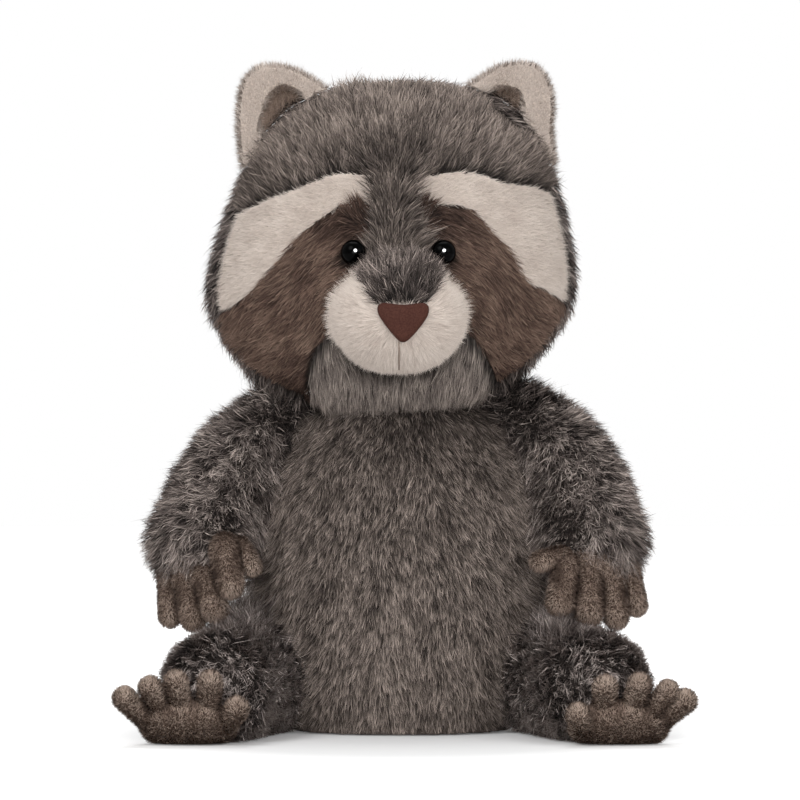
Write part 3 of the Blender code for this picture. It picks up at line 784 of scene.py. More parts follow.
    def roots(self, density: float, chance: np.random.Generator) -> tuple[Array, Array, Array]:
        """Scatters roots evenly over the backing cloth.

        Args:
            density: Roots on a square centimetre.
            chance: The seeded source of chance.

        Returns:
            The roots, the surface's normals there, and the number of the panel that each is on.
        """
        mesh = self.skin.data
        mesh.calc_loop_triangles()
        corners = np.zeros(len(mesh.loop_triangles) * 3, np.int32)
        mesh.loop_triangles.foreach_get("vertices", corners)
        corners = corners.reshape(-1, 3)
        places, normals = surface(mesh)
        a, b, c = (places[corners[:, k]] for k in range(3))
        areas = np.linalg.norm(np.cross(b - a, c - a), axis=1) / 2
        count = int(areas.sum() * 1e4 * density)
        steps = (np.arange(count) + chance.random(count)) / count * areas.sum()
        picked = np.minimum(np.searchsorted(np.cumsum(areas), steps), len(areas) - 1)
        one, two = chance.random(count), chance.random(count)
        over = one + two > 1
        one[over], two[over] = 1 - one[over], 1 - two[over]
        shares = np.stack([1 - one - two, one, two], 1)[:, :, None]
        spots = np.sum(places[corners[picked]] * shares, axis=1)
        ways = unit(np.sum(normals[corners[picked]] * shares, axis=1))
        outer = spots + ways * self.inset
        panels = np.array([self.panel(Vector(spot)) for spot in outer])
        return spots, ways, panels


@dataclass(frozen=True)
class Digit:
    """A finger or toe: the middles of its round root and tip, and their radii."""

    start: Triple
    end: Triple
    root: float = 0.0048
    tip: float = 0.0053


@dataclass
class Paw(Form):
    """A stuffed hand or foot: a palm or sole, and plump digits that part from each other."""

    palm: Triple = (0.0, 0.0, 0.0)
    palm_size: Triple = (0.010, 0.010, 0.010)
    lean: float = 0.0
    digits: tuple[Digit, ...] = ()
    shells: list[BVHTree] = field(default_factory=list)

    def build(self) -> None:
        """Makes the palm and the digits, each a closed shell of its own."""
        shells = [self.shell(digit) for digit in self.digits]
        palm = ball(28, 18)
        place = (Matrix.Translation(self.palm) @ Matrix.Rotation(math.radians(self.lean), 4, "X")
                 @ Matrix.Diagonal((*self.palm_size, 1.0)))
        bmesh.ops.transform(palm, verts=palm.verts[:], matrix=place)
        shells.append(palm)
        whole = bmesh.new()
        for shell in shells:
            shell.normal_update()
            self.shells.append(BVHTree.FromBMesh(shell))
            moves = [(vert, vert.co - vert.normal * self.inset) for vert in shell.verts]
            for vert, place in moves:
                vert.co = place
                vert.co.z = max(place.z, GROUND_CLEARANCE)
            join(whole, shell)
        self.skin = new_object(f"{self.name}_skin", finished(whole, f"{self.name}_skin"))
        corners = surface(self.skin.data)[0]
        self.low, self.high = corners.min(0) - self.inset, corners.max(0) + self.inset
        self.label()

    @staticmethod
    def shell(digit: Digit) -> bmesh.types.BMesh:
        """Makes a digit's closed shell.

        Args:
            digit: The digit's places and radii.

        Returns:
            The shell.
        """
        work = ball(20, 16)
        far = [vert for vert in work.verts if vert.co.z > 0.01]
        near = [vert for vert in work.verts if vert.co.z <= 0.01]
        bmesh.ops.scale(work, verts=far, vec=(digit.tip,) * 3)
        bmesh.ops.scale(work, verts=near, vec=(digit.root,) * 3)
        start = Vector(digit.start)
        axis = Vector(digit.end) - start
        bmesh.ops.translate(work, verts=far, vec=(0.0, 0.0, axis.length))
        place = Matrix.Translation(start) @ axis.to_track_quat("Z", "Y").to_matrix().to_4x4()
        bmesh.ops.transform(work, verts=work.verts[:], matrix=place)
        return work

    def draw_in(self, others: tuple[Form, ...], cloths: dict[str, bpy.types.Material], fill: float) -> None:
        """Dresses the backing cloth, which build has drawn in.

        Args:
            others: The forms that it touches, which change nothing here.
            cloths: The backing cloth's material, under "".
            fill: How tightly the form is stuffed; not used.
        """
        cover(self.skin.data, cloths[""])
        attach(self.skin, BODY)
        LOG.info("%s_skin: %d faces", self.name, len(self.skin.data.polygons))

    def depth(self, place: Vector) -> float:
        """Says how deep a point lies in the palm or a digit.

        Args:
            place: The point.

        Returns:
            Its depth in the shell that it lies deepest in, negative outside them all.
        """
        deepest = -1.0
        for shell in self.shells:
            near, normal, _, far = shell.find_nearest(place)
            deepest = max(deepest, far if (place - near).dot(normal) < 0 else -far)
        return deepest

    def within(self, place: Vector) -> bool:
        """Says whether a point lies inside the palm or a digit."""
        return self.depth(place) > 0

    def roots(self, density: float, chance: np.random.Generator) -> tuple[Array, Array, Array]:
        """Scatters roots over the outside of the palm and the digits.

        Args:
            density: Roots on a square centimetre.
            chance: The seeded source of chance.

        Returns:
            The roots, the surface's normals there, and the number of the panel that each is on.
        """
        slack = 0.0003
        spots, ways, panels = super().roots(density, chance)
        outside = np.array([self.depth(Vector(spot)) < self.inset + slack for spot in spots])
        return spots[outside], ways[outside], panels[outside]

    def spots(self) -> tuple[Spot, ...]:
        """Lists the painted shade between the digits and the painted highlight on their tips.

        Returns:
            The spots.
        """
        # Painted highlight: the pile on each digit's tip is paler.
        made = [Spot(digit.end, (0.0080,) * 3, tone=0.24) for digit in self.digits]
        # Painted shade: the pile between two neighbouring digits is darker.
        for one, two in zip(self.digits, self.digits[1:]):
            middle = tuple(sum(values) / 4 for values in zip(one.start, one.end, two.start, two.end))
            made.append(Spot(middle, (0.0030, 0.0200, 0.0110), tone=-0.50))
        return tuple(made)


LIFT_SPREAD = 0.25
LIFT_LIMITS = (4.0, 88.0)
LENGTH_LIMITS = (0.4, 1.9)
WIDTH_SPREAD = 0.2
WIDTH_LIMITS = (0.5, 1.6)
BLADE_SHARE = 0.5
ROOT_SHARE = 0.42


@dataclass
class Pelt:
    """The strands of one panel, made as one piece."""

    name: str
    coat: Coat
    lay: Lay
    seed: int

    def build(self, roots: Array, normals: Array, replaced: tuple[str, ...],
              keep_off: tuple["Bare | Crease", ...] = ()) -> bpy.types.Object:
        """Grows the strands.

        Args:
            roots: The strands' roots.
            normals: The backing cloth's normals there.
            replaced: The CAD nodes that this piece stands for.
            keep_off: Places that stay bare.

        Returns:
            The piece.
        """
        coat, lay = self.coat, self.lay
        chance = np.random.default_rng(self.seed)
        combed = lay.directions(roots, normals, chance)
        count = len(roots)
        lift = coat.lift * (1 + LIFT_SPREAD * chance.normal(size=count)) + lay.change("lift", roots)
        lift = np.radians(np.clip(lift, *LIFT_LIMITS))[:, None]
        heading = combed * np.cos(lift) + normals * np.sin(lift)
        heading = unit(heading + lay.change("push", roots))
        aside = np.cross(normals, combed)
        length = 1 + coat.uneven * chance.normal(size=count)
        long_ones = chance.random(count) < coat.stray_share
        length[long_ones] *= coat.stray_length
        length = coat.length * np.clip(length, *LENGTH_LIMITS) * (1 + lay.change("longer", roots))
        length = length[:, None]
        bend = coat.curl * chance.normal(size=count)[:, None] * aside - coat.droop * normals
        clumps, pull = self.clumps(roots, roots + length * (heading + bend), chance)
        roll = np.radians(coat.roll) * chance.normal(size=count)[:, None]
        flat = unit(np.cross(heading, normals))
        blade = flat * np.cos(roll) + np.cross(heading, flat) * np.sin(roll)
        width = coat.width * (1 + WIDTH_SPREAD * chance.normal(size=count)).clip(*WIDTH_LIMITS)[:, None]
        facing = unit(np.cross(blade, heading))
        shaded = unit(normals * coat.surface_share + facing * (1 - coat.surface_share))
        tone = self.tones(roots, clumps, chance)
        straight = chance.random(count) < coat.straight
        batches = []
        for steps, chosen in ((1, straight), (coat.steps, ~straight)):
            template = Strand(steps)
            places = np.empty((count, len(template.along), 3))
            for index, (across, along) in enumerate(zip(template.across, template.along)):
                spine = roots + length * (heading * along + bend * along ** 2) + pull * along ** 1.5
                half = blade * across * width * (BLADE_SHARE if along else ROOT_SHARE)
                places[:, index] = spine + half
            places[:, :, 2] = np.maximum(places[:, :, 2], GROUND_CLEARANCE)
            good = chosen.copy()
            for bare in keep_off:
                good &= ~bare.touches(places)
            batches.append((template, places[good], shaded[good], tone[good]))
        return self.mesh(batches, replaced)

    def clumps(self, roots: Array, tips: Array, chance: np.random.Generator) -> tuple[Array, Array]:
        """Gathers strands into tufts.

        Args:
            roots: The strands' roots.
            tips: Where they end by themselves.
            chance: The seeded source of chance.

        Returns:
            The number of each strand's tuft, and the move that draws its tip into the tuft.
        """
        coat = self.coat
        count = len(roots)
        if not coat.clump_size:
            return np.arange(count), np.zeros((count, 3))
        members = max(int(coat.density * 1e4 * coat.clump_size ** 2), 1)
        chosen = chance.permutation(count)[:max(count // members, 1)]
        nearest = KDTree(len(chosen))
        for index, strand in enumerate(chosen):
            nearest.insert(roots[strand], index)
        nearest.balance()
        tuft = np.array([nearest.find(root)[1] for root in roots])
        strength = coat.clump_pull * chance.uniform(0.4, 1.0, count)[:, None]
        return tuft, (tips[chosen[tuft]] - tips) * strength

    def tones(self, roots: Array, clumps: Array, chance: np.random.Generator) -> Array:
        """Picks each strand's tone.

        Args:
            roots: The strands' roots.
            clumps: The number of each strand's tuft.
            chance: The seeded source of chance.

        Returns:
            The tones, from dark, 0, to pale, 1.
        """
        coat = self.coat
        of_clump = chance.normal(size=clumps.max() + 1)[clumps]
        tone = coat.middle_tone + coat.clump_tone * of_clump
        tone += coat.strand_tone * chance.normal(size=len(roots))
        tone += coat.mottle * wander(roots, coat.mottle_size, self.seed) + self.lay.change("tone", roots)
        return np.clip(tone, 0.0, 1.0)

    def mesh(self, batches: list[tuple[Strand, Array, Array, Array]],
             replaced: tuple[str, ...]) -> bpy.types.Object:
        """Puts the strands into one mesh with their tones and their soft shading.

        Args:
            batches: Strands of one kind, with their points, their shading normals and their tones.
            replaced: The CAD nodes that the piece stands for.

        Returns:
            The piece.
        """
        corners, first = [], 0
        for template, places, _, _ in batches:
            strands, points = places.shape[:2]
            corners.append((first + np.arange(strands)[:, None] * points + template.corners).ravel())
            first += strands * points
        corners = np.concatenate(corners).astype(np.int32)
        sizes, along, across = (
            np.concatenate([np.tile(getattr(batch[0], what), len(batch[3])) for batch in batches])
            for what in ("sizes", "along", "across"))
        tones, shaded = (
            np.concatenate([np.repeat(batch[number], len(batch[0].along), axis=0) for batch in batches])
            for number in (3, 2))
        mesh = bpy.data.meshes.new(self.name)
        mesh.vertices.add(first)
        spots = np.concatenate([places.reshape(-1, 3) for _, places, _, _ in batches])
        mesh.vertices.foreach_set("co", spots.astype(np.float32).ravel())
        mesh.loops.add(len(corners))
        mesh.loops.foreach_set("vertex_index", corners)
        mesh.polygons.add(len(sizes))
        starts = np.concatenate([[0], np.cumsum(sizes)[:-1]])
        mesh.polygons.foreach_set("loop_start", starts.astype(np.int32))
        mesh.polygons.foreach_set("loop_total", sizes.astype(np.int32))
        mesh.update(calc_edges=True)
        for name, values in (("tone", tones), ("along", along)):
            attribute = mesh.attributes.new(name, "FLOAT", "POINT")
            attribute.data.foreach_set("value", values.astype(np.float32))
        chart = mesh.uv_layers.new(name="OFBake")
        margin, blade = 0.01, 0.004
        ranks = margin + (1 - 2 * margin) * tones + blade * across
        chart_places = np.stack([ranks, margin + (1 - 2 * margin) * along], 1)[corners]
        chart.data.foreach_set("uv", chart_places.astype(np.float32).ravel())
        mesh.normals_split_custom_set_from_vertices(shaded.tolist())
        mesh.materials.append(self.coat.finish.material())
        piece = new_object(self.name, mesh)
        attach(piece, BODY)
        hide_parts(*replaced)
        strands = sum(len(tones) for _, _, _, tones in batches)
        LOG.info("%s: %d strands, %d triangles", self.name, strands, int((sizes - 2).sum()))
        return piece


@dataclass
class Bare:
    """A round place that strands stay off, such as round an eye."""

    middle: Vector
    radius: float

    def touches(self, places: Array) -> Array:
        """Says which strands come into the place."""
        far = np.linalg.norm(places - np.array(self.middle), axis=2)
        return (far < self.radius).any(axis=1)


@dataclass
class Crease:
    """A narrow upright crease, such as the seam in the middle of the muzzle, that strands stay out of."""

    line: list[Vector]
    half_width: float

    def touches(self, places: Array) -> Array:
        """Says which strands come into the crease.

        Args:
            places: The points of each strand.

        Returns:
            True for each strand that does.
        """
        points = np.array([point[:] for point in self.line])
        middle = points.mean(axis=0)
        low, high = points.min(axis=0), points.max(axis=0)
        beside = np.abs(places[:, :, 0] - middle[0]) < self.half_width
        level = (places[:, :, 2] > low[2] - 0.002) & (places[:, :, 2] < high[2]) & (places[:, :, 1] < high[1])
        crossed = (places[:, 0, 0] - middle[0]) * (places[:, -1, 0] - middle[0]) < 0
        return (level & (beside | crossed[:, None])).any(axis=1)


GREY_FUR = FurFinish("grey_pile", (0.040, 0.031, 0.027), (0.200, 0.160, 0.138), (0.56, 0.46, 0.40))
CHIN_FUR = FurFinish("chin_pile", (0.055, 0.044, 0.040), (0.230, 0.189, 0.168), (0.55, 0.47, 0.41))
CHARCOAL_FUR = FurFinish("charcoal_pile", (0.026, 0.020, 0.018), (0.235, 0.188, 0.170), (0.80, 0.68, 0.61),
                         root_shade=0.10)
# Painted light: a paler copy of the charcoal fur for the legs, which lie low in shade.
LIT_LEG_FUR = FurFinish("leg_pile", (0.036, 0.028, 0.026), (0.350, 0.286, 0.262), (0.80, 0.69, 0.64),
                    root_shade=0.14)
BRIDGE_FUR = FurFinish("bridge_pile", (0.022, 0.017, 0.015), (0.195, 0.156, 0.140), (0.78, 0.65, 0.58),
                       root_shade=0.10)
CREAM_FUR = FurFinish("cream_pile", (0.51, 0.425, 0.375), (0.655, 0.57, 0.505), (0.79, 0.705, 0.635),
                      root_shade=0.75, root_band=0.1, reach_shade=0.94, root_reach=0.6)
EAR_FUR = FurFinish("ear_pile", (0.40, 0.33, 0.285), (0.545, 0.46, 0.405), (0.74, 0.65, 0.58),
                    root_shade=0.70, root_band=0.1, reach_shade=0.92, root_reach=0.6)
BROWN_FUR = FurFinish("brown_pile", (0.034, 0.020, 0.015), (0.158, 0.096, 0.073), (0.36, 0.25, 0.187))
LINING_FUR = FurFinish("lining_pile", (0.13, 0.090, 0.068), (0.30, 0.215, 0.168), (0.50, 0.38, 0.31),
                       root_shade=0.40, reach_shade=0.85)
VELOUR = FurFinish("velour_pile", (0.100, 0.068, 0.053), (0.300, 0.215, 0.170), (0.56, 0.44, 0.36),
                   root_shade=0.50, root_band=0.1, reach_shade=0.88, root_reach=0.8)

LONG = dict(length=0.0064, width=0.00030, density=420.0, lift=37.0, clump_size=0.0014, clump_pull=0.55,
            clump_tone=0.17, strand_tone=0.20)
SPARSE = {**LONG, "density": 205.0, "width": 0.00043, "lift": 40.0}
GREY_COAT = Coat(GREY_FUR, Slot.GREY, middle_tone=0.46, **{**LONG, "strand_tone": 0.24})
TORSO_BACK_COAT = Coat(GREY_FUR, Slot.GREY, **SPARSE)
TAIL_COAT = Coat(GREY_FUR, Slot.GREY, **{**SPARSE, "length": 0.0085})
TAIL_DARK_COAT = Coat(CHARCOAL_FUR, Slot.CHARCOAL, middle_tone=0.22, **{**SPARSE, "length": 0.0085})
CROWN_COAT = Coat(GREY_FUR, Slot.GREY, curl=0.18, uneven=0.28, stray_share=0.08, middle_tone=0.55,
                  **{**LONG, "length": 0.0078, "lift": 46.0, "density": 460.0, "clump_pull": 0.5,
                     "strand_tone": 0.24, "clump_tone": 0.13})
CHIN_COAT = Coat(CHIN_FUR, Slot.GREY, **{**LONG, "density": 430.0, "length": 0.0120, "lift": 30.0})
BACK_COAT = Coat(CHARCOAL_FUR, Slot.CHARCOAL, curl=0.22, mottle=0.2, middle_tone=0.33,
                 **{**SPARSE, "length": 0.0082, "density": 175.0})
CURLY = dict(length=0.0070, width=0.00032, lift=50.0, droop=0.14, curl=0.38, clump_size=0.0017,
             clump_pull=0.6, clump_tone=0.20, strand_tone=0.20, mottle=0.16, mottle_size=0.007,
             stray_share=0.08, stray_length=1.3)
CURLY_COAT = Coat(CHARCOAL_FUR, Slot.CHARCOAL, density=400.0, **CURLY)
LEG_COAT = Coat(LIT_LEG_FUR, Slot.CHARCOAL, density=330.0, straight=0.45, middle_tone=0.56,
                **{**CURLY, "curl": 0.7, "length": 0.0060, "width": 0.00036, "lift": 58.0,
                   "clump_size": 0.0021, "clump_pull": 0.7, "clump_tone": 0.26, "mottle": 0.14})
BRIDGE_COAT = Coat(BRIDGE_FUR, Slot.CHARCOAL, length=0.0085, width=0.00028, density=650.0, lift=52.0,
                   curl=0.25, clump_size=0.0013, clump_pull=0.5, clump_tone=0.26, strand_tone=0.24,
                   middle_tone=0.34)
MASK_COAT = Coat(BROWN_FUR, Slot.BROWN, length=0.0074, width=0.00028, density=520.0, lift=27.0,
                 clump_size=0.0010, clump_pull=0.35, strand_tone=0.20, mottle=0.12)
BROW_COAT = Coat(CREAM_FUR, Slot.CREAM, length=0.0044, width=0.00028, density=850.0, lift=58.0, droop=0.3,
                 straight=1.0, clump_tone=0.0, strand_tone=0.20, mottle=0.14, surface_share=0.75)
MUZZLE_COAT = Coat(CREAM_FUR, Slot.CREAM, length=0.0050, width=0.00028, density=850.0, lift=50.0,
                   straight=1.0, clump_size=0.0010, clump_pull=0.35, strand_tone=0.20, surface_share=0.7)
EAR_COAT = Coat(EAR_FUR, Slot.CREAM, length=0.0040, width=0.00028, density=700.0, lift=65.0, straight=1.0,
                strand_tone=0.22, clump_tone=0.0, surface_share=0.85)
LINING_COAT = Coat(LINING_FUR, Slot.BROWN, length=0.0066, width=0.00030, density=800.0, lift=68.0,
                   straight=1.0, clump_tone=0.0, surface_share=0.6)
VELOUR_COAT = Coat(VELOUR, Slot.VELOUR, length=0.0018, width=0.00032, density=660.0, lift=60.0, straight=1.0,
                   clump_tone=0.0, strand_tone=0.15, mottle=0.12, mottle_size=0.006, surface_share=0.80)

BACKING = ClothFinish("backing_cloth", (0.012, 0.009, 0.008), (0.030, 0.024, 0.021))
PALE_BACKING = ClothFinish("pale_backing_cloth", (0.54, 0.46, 0.40), (0.66, 0.57, 0.50))
SEAT_CLOTH = ClothFinish("seat_cloth", (0.030, 0.024, 0.021), (0.080, 0.064, 0.056), grain=0.0010, bump=0.6)
VELOUR_BACKING = ClothFinish("velour_backing_cloth", (0.030, 0.019, 0.014), (0.065, 0.044, 0.034))
FIBRE = ClothFinish("filling_fibre", (0.62, 0.61, 0.58), (0.84, 0.83, 0.80), grain=0.004)
LINEN = ClothFinish("pouch_linen", (0.36, 0.32, 0.26), (0.52, 0.47, 0.39), grain=0.0008)
NOSE_CLOTH = ClothFinish("nose_leather", (0.036, 0.0125, 0.0088), (0.058, 0.0215, 0.0150), grain=0.0006,
                         bump=0.25, roughness=0.75)
# Painted shade: the colour of a dark strip laid deep in the muzzle's seam, for the shade in the crease.
CREASE_SHADE = ClothFinish("crease_shade", (0.22, 0.17, 0.14), (0.32, 0.25, 0.21), grain=0.0006)
EYE_GLOSS = GlossFinish("eye_gloss", (0.0, 0.0, 0.0), 0.05, shine=0.03)
WASHER_GLOSS = GlossFinish("washer_gloss", (0.010, 0.010, 0.010), 0.4)


def grow(form: Form, others: tuple[Form, ...], pelts: dict[str, tuple[Coat, Lay]], seed: int,
         bare: tuple["Bare | Crease", ...] = ()) -> None:
    """Grows the pile on every panel of a form.

    Args:
        form: The stuffed form.
        others: The forms that it touches, under which nothing grows.
        pelts: Each panel's coat and lay.
        seed: Picks the form's own chance.
        bare: Places that stay bare.
    """
    chance = np.random.default_rng(seed)
    densest = max(coat.density for coat, _ in pelts.values())
    roots, normals, panels = form.roots(densest, chance)
    over = roots + normals * (form.inset + 0.0008)
    free = np.ones(len(roots), bool)
    for other in others:
        free &= ~other.holds(over)
    luck = chance.random(len(roots))
    for index, node in enumerate(form.nodes):
        if node not in pelts:
            continue
        coat, lay = pelts[node]
        chosen = free & (panels == index) & (luck < coat.density / densest)
        pelt = Pelt(f"{node}_fur", coat, lay, seed * 100 + index)
        pelt.build(roots[chosen], normals[chosen], (node,), bare)


@dataclass
class Head:
    """The head with its panels, snout, eyes, nose and ears."""

    middle: Triple = (-0.0035, -0.003, 0.178)
    eye_radius: float = 0.0050
    eye_dome: float = 0.0046
    eye_margin: float = 0.0002
    stem_reach: float = 0.0032
    form: Form = field(default_factory=lambda: Form(
        "head",
        ("crown_panel", "head_back_panel", "brow_left", "brow_right", "mask_left", "mask_right", "chin_left",
         "chin_right", "muzzle_left", "muzzle_right", "muzzle_bridge"),
        ("head_stuffing",), 0.0030, 0.0032))
    ears: dict[str, Form] = field(default_factory=lambda: {
        side: Form(f"ear_{side}", (f"ear_{side}", f"ear_lining_{side}"), (), 0.0011, 0.0012, smooth=9,
                   cloth_voxel=0.0028, cloth_move=0.0010)
        for side in SIDES})
    nose_depth: float = 0.0034
    nose_voxel: float = 0.0007
    nose_puff: float = 0.0005
    crease_width: float = 0.0005
    crease_depth: float = 0.0020

    def build(self) -> None:
        """Makes the forms of the head and the ears."""
        self.form.build()
        for form in self.ears.values():
            form.build()

    def draw_in(self, others: tuple[Form, ...]) -> None:
        """Makes the backing cloth of the head and the ears.

        Args:
            others: The forms that the head touches.
        """
        pale = PALE_BACKING.material()
        dark = BACKING.material()
        cloths = {"": dark} | {f"{panel}_{side}": pale for panel in ("brow", "muzzle") for side in SIDES}
        self.form.draw_in(others + tuple(self.ears.values()), cloths, 0.85)
        for side, form in self.ears.items():
            form.draw_in((self.form,), {"": pale, f"ear_lining_{side}": dark}, 0.3)

    def eye_axis(self, side: str) -> tuple[Vector, Vector]:
        """Finds where an eye's dome ends and the way that it points, from its CAD node.

        Args:
            side: Which eye.

        Returns:
            The top of its dome, and its axis out of the head.
        """
        points = [vert.co.copy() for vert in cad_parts[f"eye_{side}"].data.vertices]
        outward = Vector((0.0, -1.0, 0.0))
        front = min(points, key=lambda point: -point.dot(outward))
        back = max(points, key=lambda point: (point - front).length)
        stem = [point for point in points if (point - back).length < self.stem_reach]
        stem_end = sum(stem, Vector()) / len(stem)
        top = max(points, key=lambda point: (point - stem_end).length)
        axis = (top - stem_end).normalized()
        top = stem_end + axis * max((point - stem_end).dot(axis) for point in points)
        return top, axis

    def build_eyes(self) -> tuple[Bare, ...]:
        """Makes the glossy eyes.

        Returns:
            The places round them that stay bare.
        """
        gloss = EYE_GLOSS.material()
        bare = []
        for side in SIDES:
            top, axis = self.eye_axis(side)
            middle = top - axis * self.eye_dome
            work = ball(32, 20, self.eye_radius)
            squash = Matrix.Diagonal((1.0, 1.0, self.eye_dome / self.eye_radius, 1.0))
            place = Matrix.Translation(middle) @ axis.to_track_quat("Z", "Y").to_matrix().to_4x4()
            for matrix in (squash, place):
                bmesh.ops.transform(work, verts=work.verts[:], matrix=matrix)
            mesh = finished(work, f"eye_dome_{side}")
            cover(mesh, gloss)
            eye = new_object(f"eye_dome_{side}", mesh)
            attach(eye, BODY)
            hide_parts(f"eye_{side}")
            bare.append(Bare(middle, self.eye_radius + self.eye_margin))
            LOG.info("eye_dome_%s: %d faces", side, len(mesh.polygons))
        return tuple(bare)

    def build_nose(self) -> tuple[Bare, ...]:
        """Makes the nose, a padded patch of soft leather that stands on the muzzle's backing cloth.

        Returns:
            The places under it that stay bare.
        """
        work = solid("nose")
        bmesh.ops.recalc_face_normals(work, faces=work.faces[:])
        for share in (0.5, 1.0):
            back = bmesh.ops.duplicate(work, geom=work.faces[:])["geom"]
            moved = [item for item in back if isinstance(item, bmesh.types.BMVert)]
            bmesh.ops.translate(work, verts=moved, vec=(0.0, self.nose_depth * share, 0.0))
        nose = new_object("nose_patch", finished(work, "nose_patch"))
        even_out(nose, self.nose_voxel, 6)
        puff(nose, self.nose_puff)
        Form.settle(nose)
        cover(nose.data, NOSE_CLOTH.material())
        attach(nose, BODY)
        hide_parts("nose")
        LOG.info("nose_patch: %d faces", len(nose.data.polygons))
        low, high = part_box("nose")
        middle = (low + high) / 2
        inward, aside, radius, low_radius, drop = 0.0012, 0.0042, 0.0038, 0.0044, 0.0005
        depth = low.y + inward
        upper = [Bare(Vector((middle.x + way, depth, high.z - radius)), radius) for way in (-aside, aside)]
        return (*upper, Bare(Vector((middle.x, depth, middle.z - drop)), low_radius))

    def build_crease(self) -> Crease:
        """Draws a dark strip deep in the seam from the nose down to the chin, painted shade for the crease.

        Returns:
            The crease that the strands stay out of.
        """
        low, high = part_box("muzzle_left")
        right_low, right_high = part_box("muzzle_right")
        nose_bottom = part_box("nose")[0].z
        drop, under_nose, step = 0.002, 0.003, 6
        middle = Vector(((low.x + right_high.x) / 2, (right_low.y + right_high.y) / 2,
                         (low.z + high.z) / 2 - drop))
        line = []
        for degrees in range(0, 90 + step, step):
            angle = math.radians(degrees)
            way = Vector((0.0, -math.cos(angle), -math.sin(angle)))
            place, _, _, _ = self.form.tree.ray_cast(middle, way)
            if place is not None and place.z < nose_bottom + under_nose:
                line.append(place - way * self.crease_depth)
        data = bpy.data.curves.new("muzzle_crease", "CURVE")
        data.dimensions = "3D"
        data.bevel_depth = self.crease_width / 2
        data.bevel_resolution = 2
        data.use_fill_caps = True
        spline = data.splines.new("POLY")
        spline.points.add(len(line) - 1)
        for point, place in zip(spline.points, line):
            point.co = (*place, 1.0)
        bent = new_object("bent", data)
        bpy.context.view_layer.update()
        mesh = bpy.data.meshes.new_from_object(bent.evaluated_get(bpy.context.evaluated_depsgraph_get()))
        bpy.data.objects.remove(bent)
        mesh.name = "muzzle_crease"
        cover(mesh, CREASE_SHADE.material())
        # The strip is painted shade in the seam.
        shade_strip = new_object("muzzle_crease", mesh)
        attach(shade_strip, BODY)
        LOG.info("muzzle_crease: %d faces", len(mesh.polygons))
        return Crease(line, self.crease_width / 2)

    @staticmethod
    def crown_spots() -> tuple[Spot, ...]:
        """Lists the painted shade along the crown's lower edges, its ruffled corners and the strip that parts
        between the brows.

        Returns:
            The spots.
        """
        return (
            # Painted shade: the crown's pile is darker along its lower edge, above the brows.
            Spot((0.0, 0.0, 0.2225), (0.046, 1.0, 0.012), tone=-0.32),
            Spot((0.056, 0.0, 0.2145), (0.026, 1.0, 0.013), tone=-0.30),
            Spot((-0.060, 0.0, 0.2140), (0.026, 1.0, 0.013), tone=-0.30),
            Spot((-0.020, -0.010, 0.258), (0.012, 0.030, 0.014), longer=0.7, lift=25.0),
            Spot((0.054, -0.012, 0.224), (0.024, 0.060, 0.030), longer=0.25, lift=12.0, push=(0.2, 0.0, 0.0)),
            Spot((-0.060, -0.012, 0.226), (0.026, 0.060, 0.026), longer=0.25, lift=12.0,
                 push=(-0.2, 0.0, 0.0)),
            Spot((0.048, -0.020, 0.243), (0.018, 0.035, 0.015), longer=-0.70, push=(-0.6, 0.0, -0.4)),
            Spot((-0.0035, -0.055, 0.196), (0.015, 0.040, 0.028), tone=-0.22),
            Spot((0.0072, -0.055, 0.203), (0.009, 0.030, 0.026), push=(1.1, -0.2, 0.0)),
            Spot((-0.0142, -0.055, 0.203), (0.009, 0.030, 0.026), push=(-1.1, -0.2, 0.0)),
        )

    def pelts(self) -> dict[str, tuple[Coat, Lay]]:
        """Chooses each panel's coat and lay.

        Returns:
            The coat and the lay under each panel's name.
        """
        low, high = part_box("nose")
        nose = tuple((low + high) / 2)
        neck = (0.0, 0.0, 0.128)
        over_chest = Spot(neck, (1.0, 1.0, 0.050), push=(0.0, -0.35, -1.3))
        # Painted shade: mask_hem also darkens the mask's pile along its lower edge, at the neck.
        mask_hem = Spot(neck, (1.0, 1.0, 0.020), push=(0.0, 0.1, -0.3), longer=-0.40, tone=-0.45)
        nape = Spot(neck, (1.0, 1.0, 0.030), push=(0.0, 0.0, -1.2), longer=0.3)
        tuft = (
            Spot((nose[0], nose[1] + 0.008, nose[2] + 0.009), (0.022, 0.025, 0.009), tone=-0.28, longer=0.15,
                 lift=12.0),
            Spot((nose[0], -0.074, 0.182), (0.022, 0.022, 0.016), longer=0.4, lift=16.0,
                 push=(0.0, -0.3, 0.5)),
        )
        muzzle = Lay((0.0, 0.0, 0.0), nose, (1.0, 1.0, 1.0), stray=7.0, swirl=4.0)
        crown = Lay((0.0, 0.35, 1.0), self.middle, (14.0, 0.0, 0.0), stray=14.0, spots=self.crown_spots())
        back = Lay((0.0, 0.25, -0.8), self.middle, (10.0, 0.0, 0.0), stray=22.0, spots=(nape,))
        bridge = Lay((0.0, 0.2, 1.0), nose, (75.0, 0.0, 0.0), stray=22.0, spots=tuft)
        pelts = {"crown_panel": (CROWN_COAT, crown), "head_back_panel": (BACK_COAT, back),
                 "muzzle_bridge": (BRIDGE_COAT, bridge)}
        for side, sign in SIDES.items():
            middle = self.middle[0]
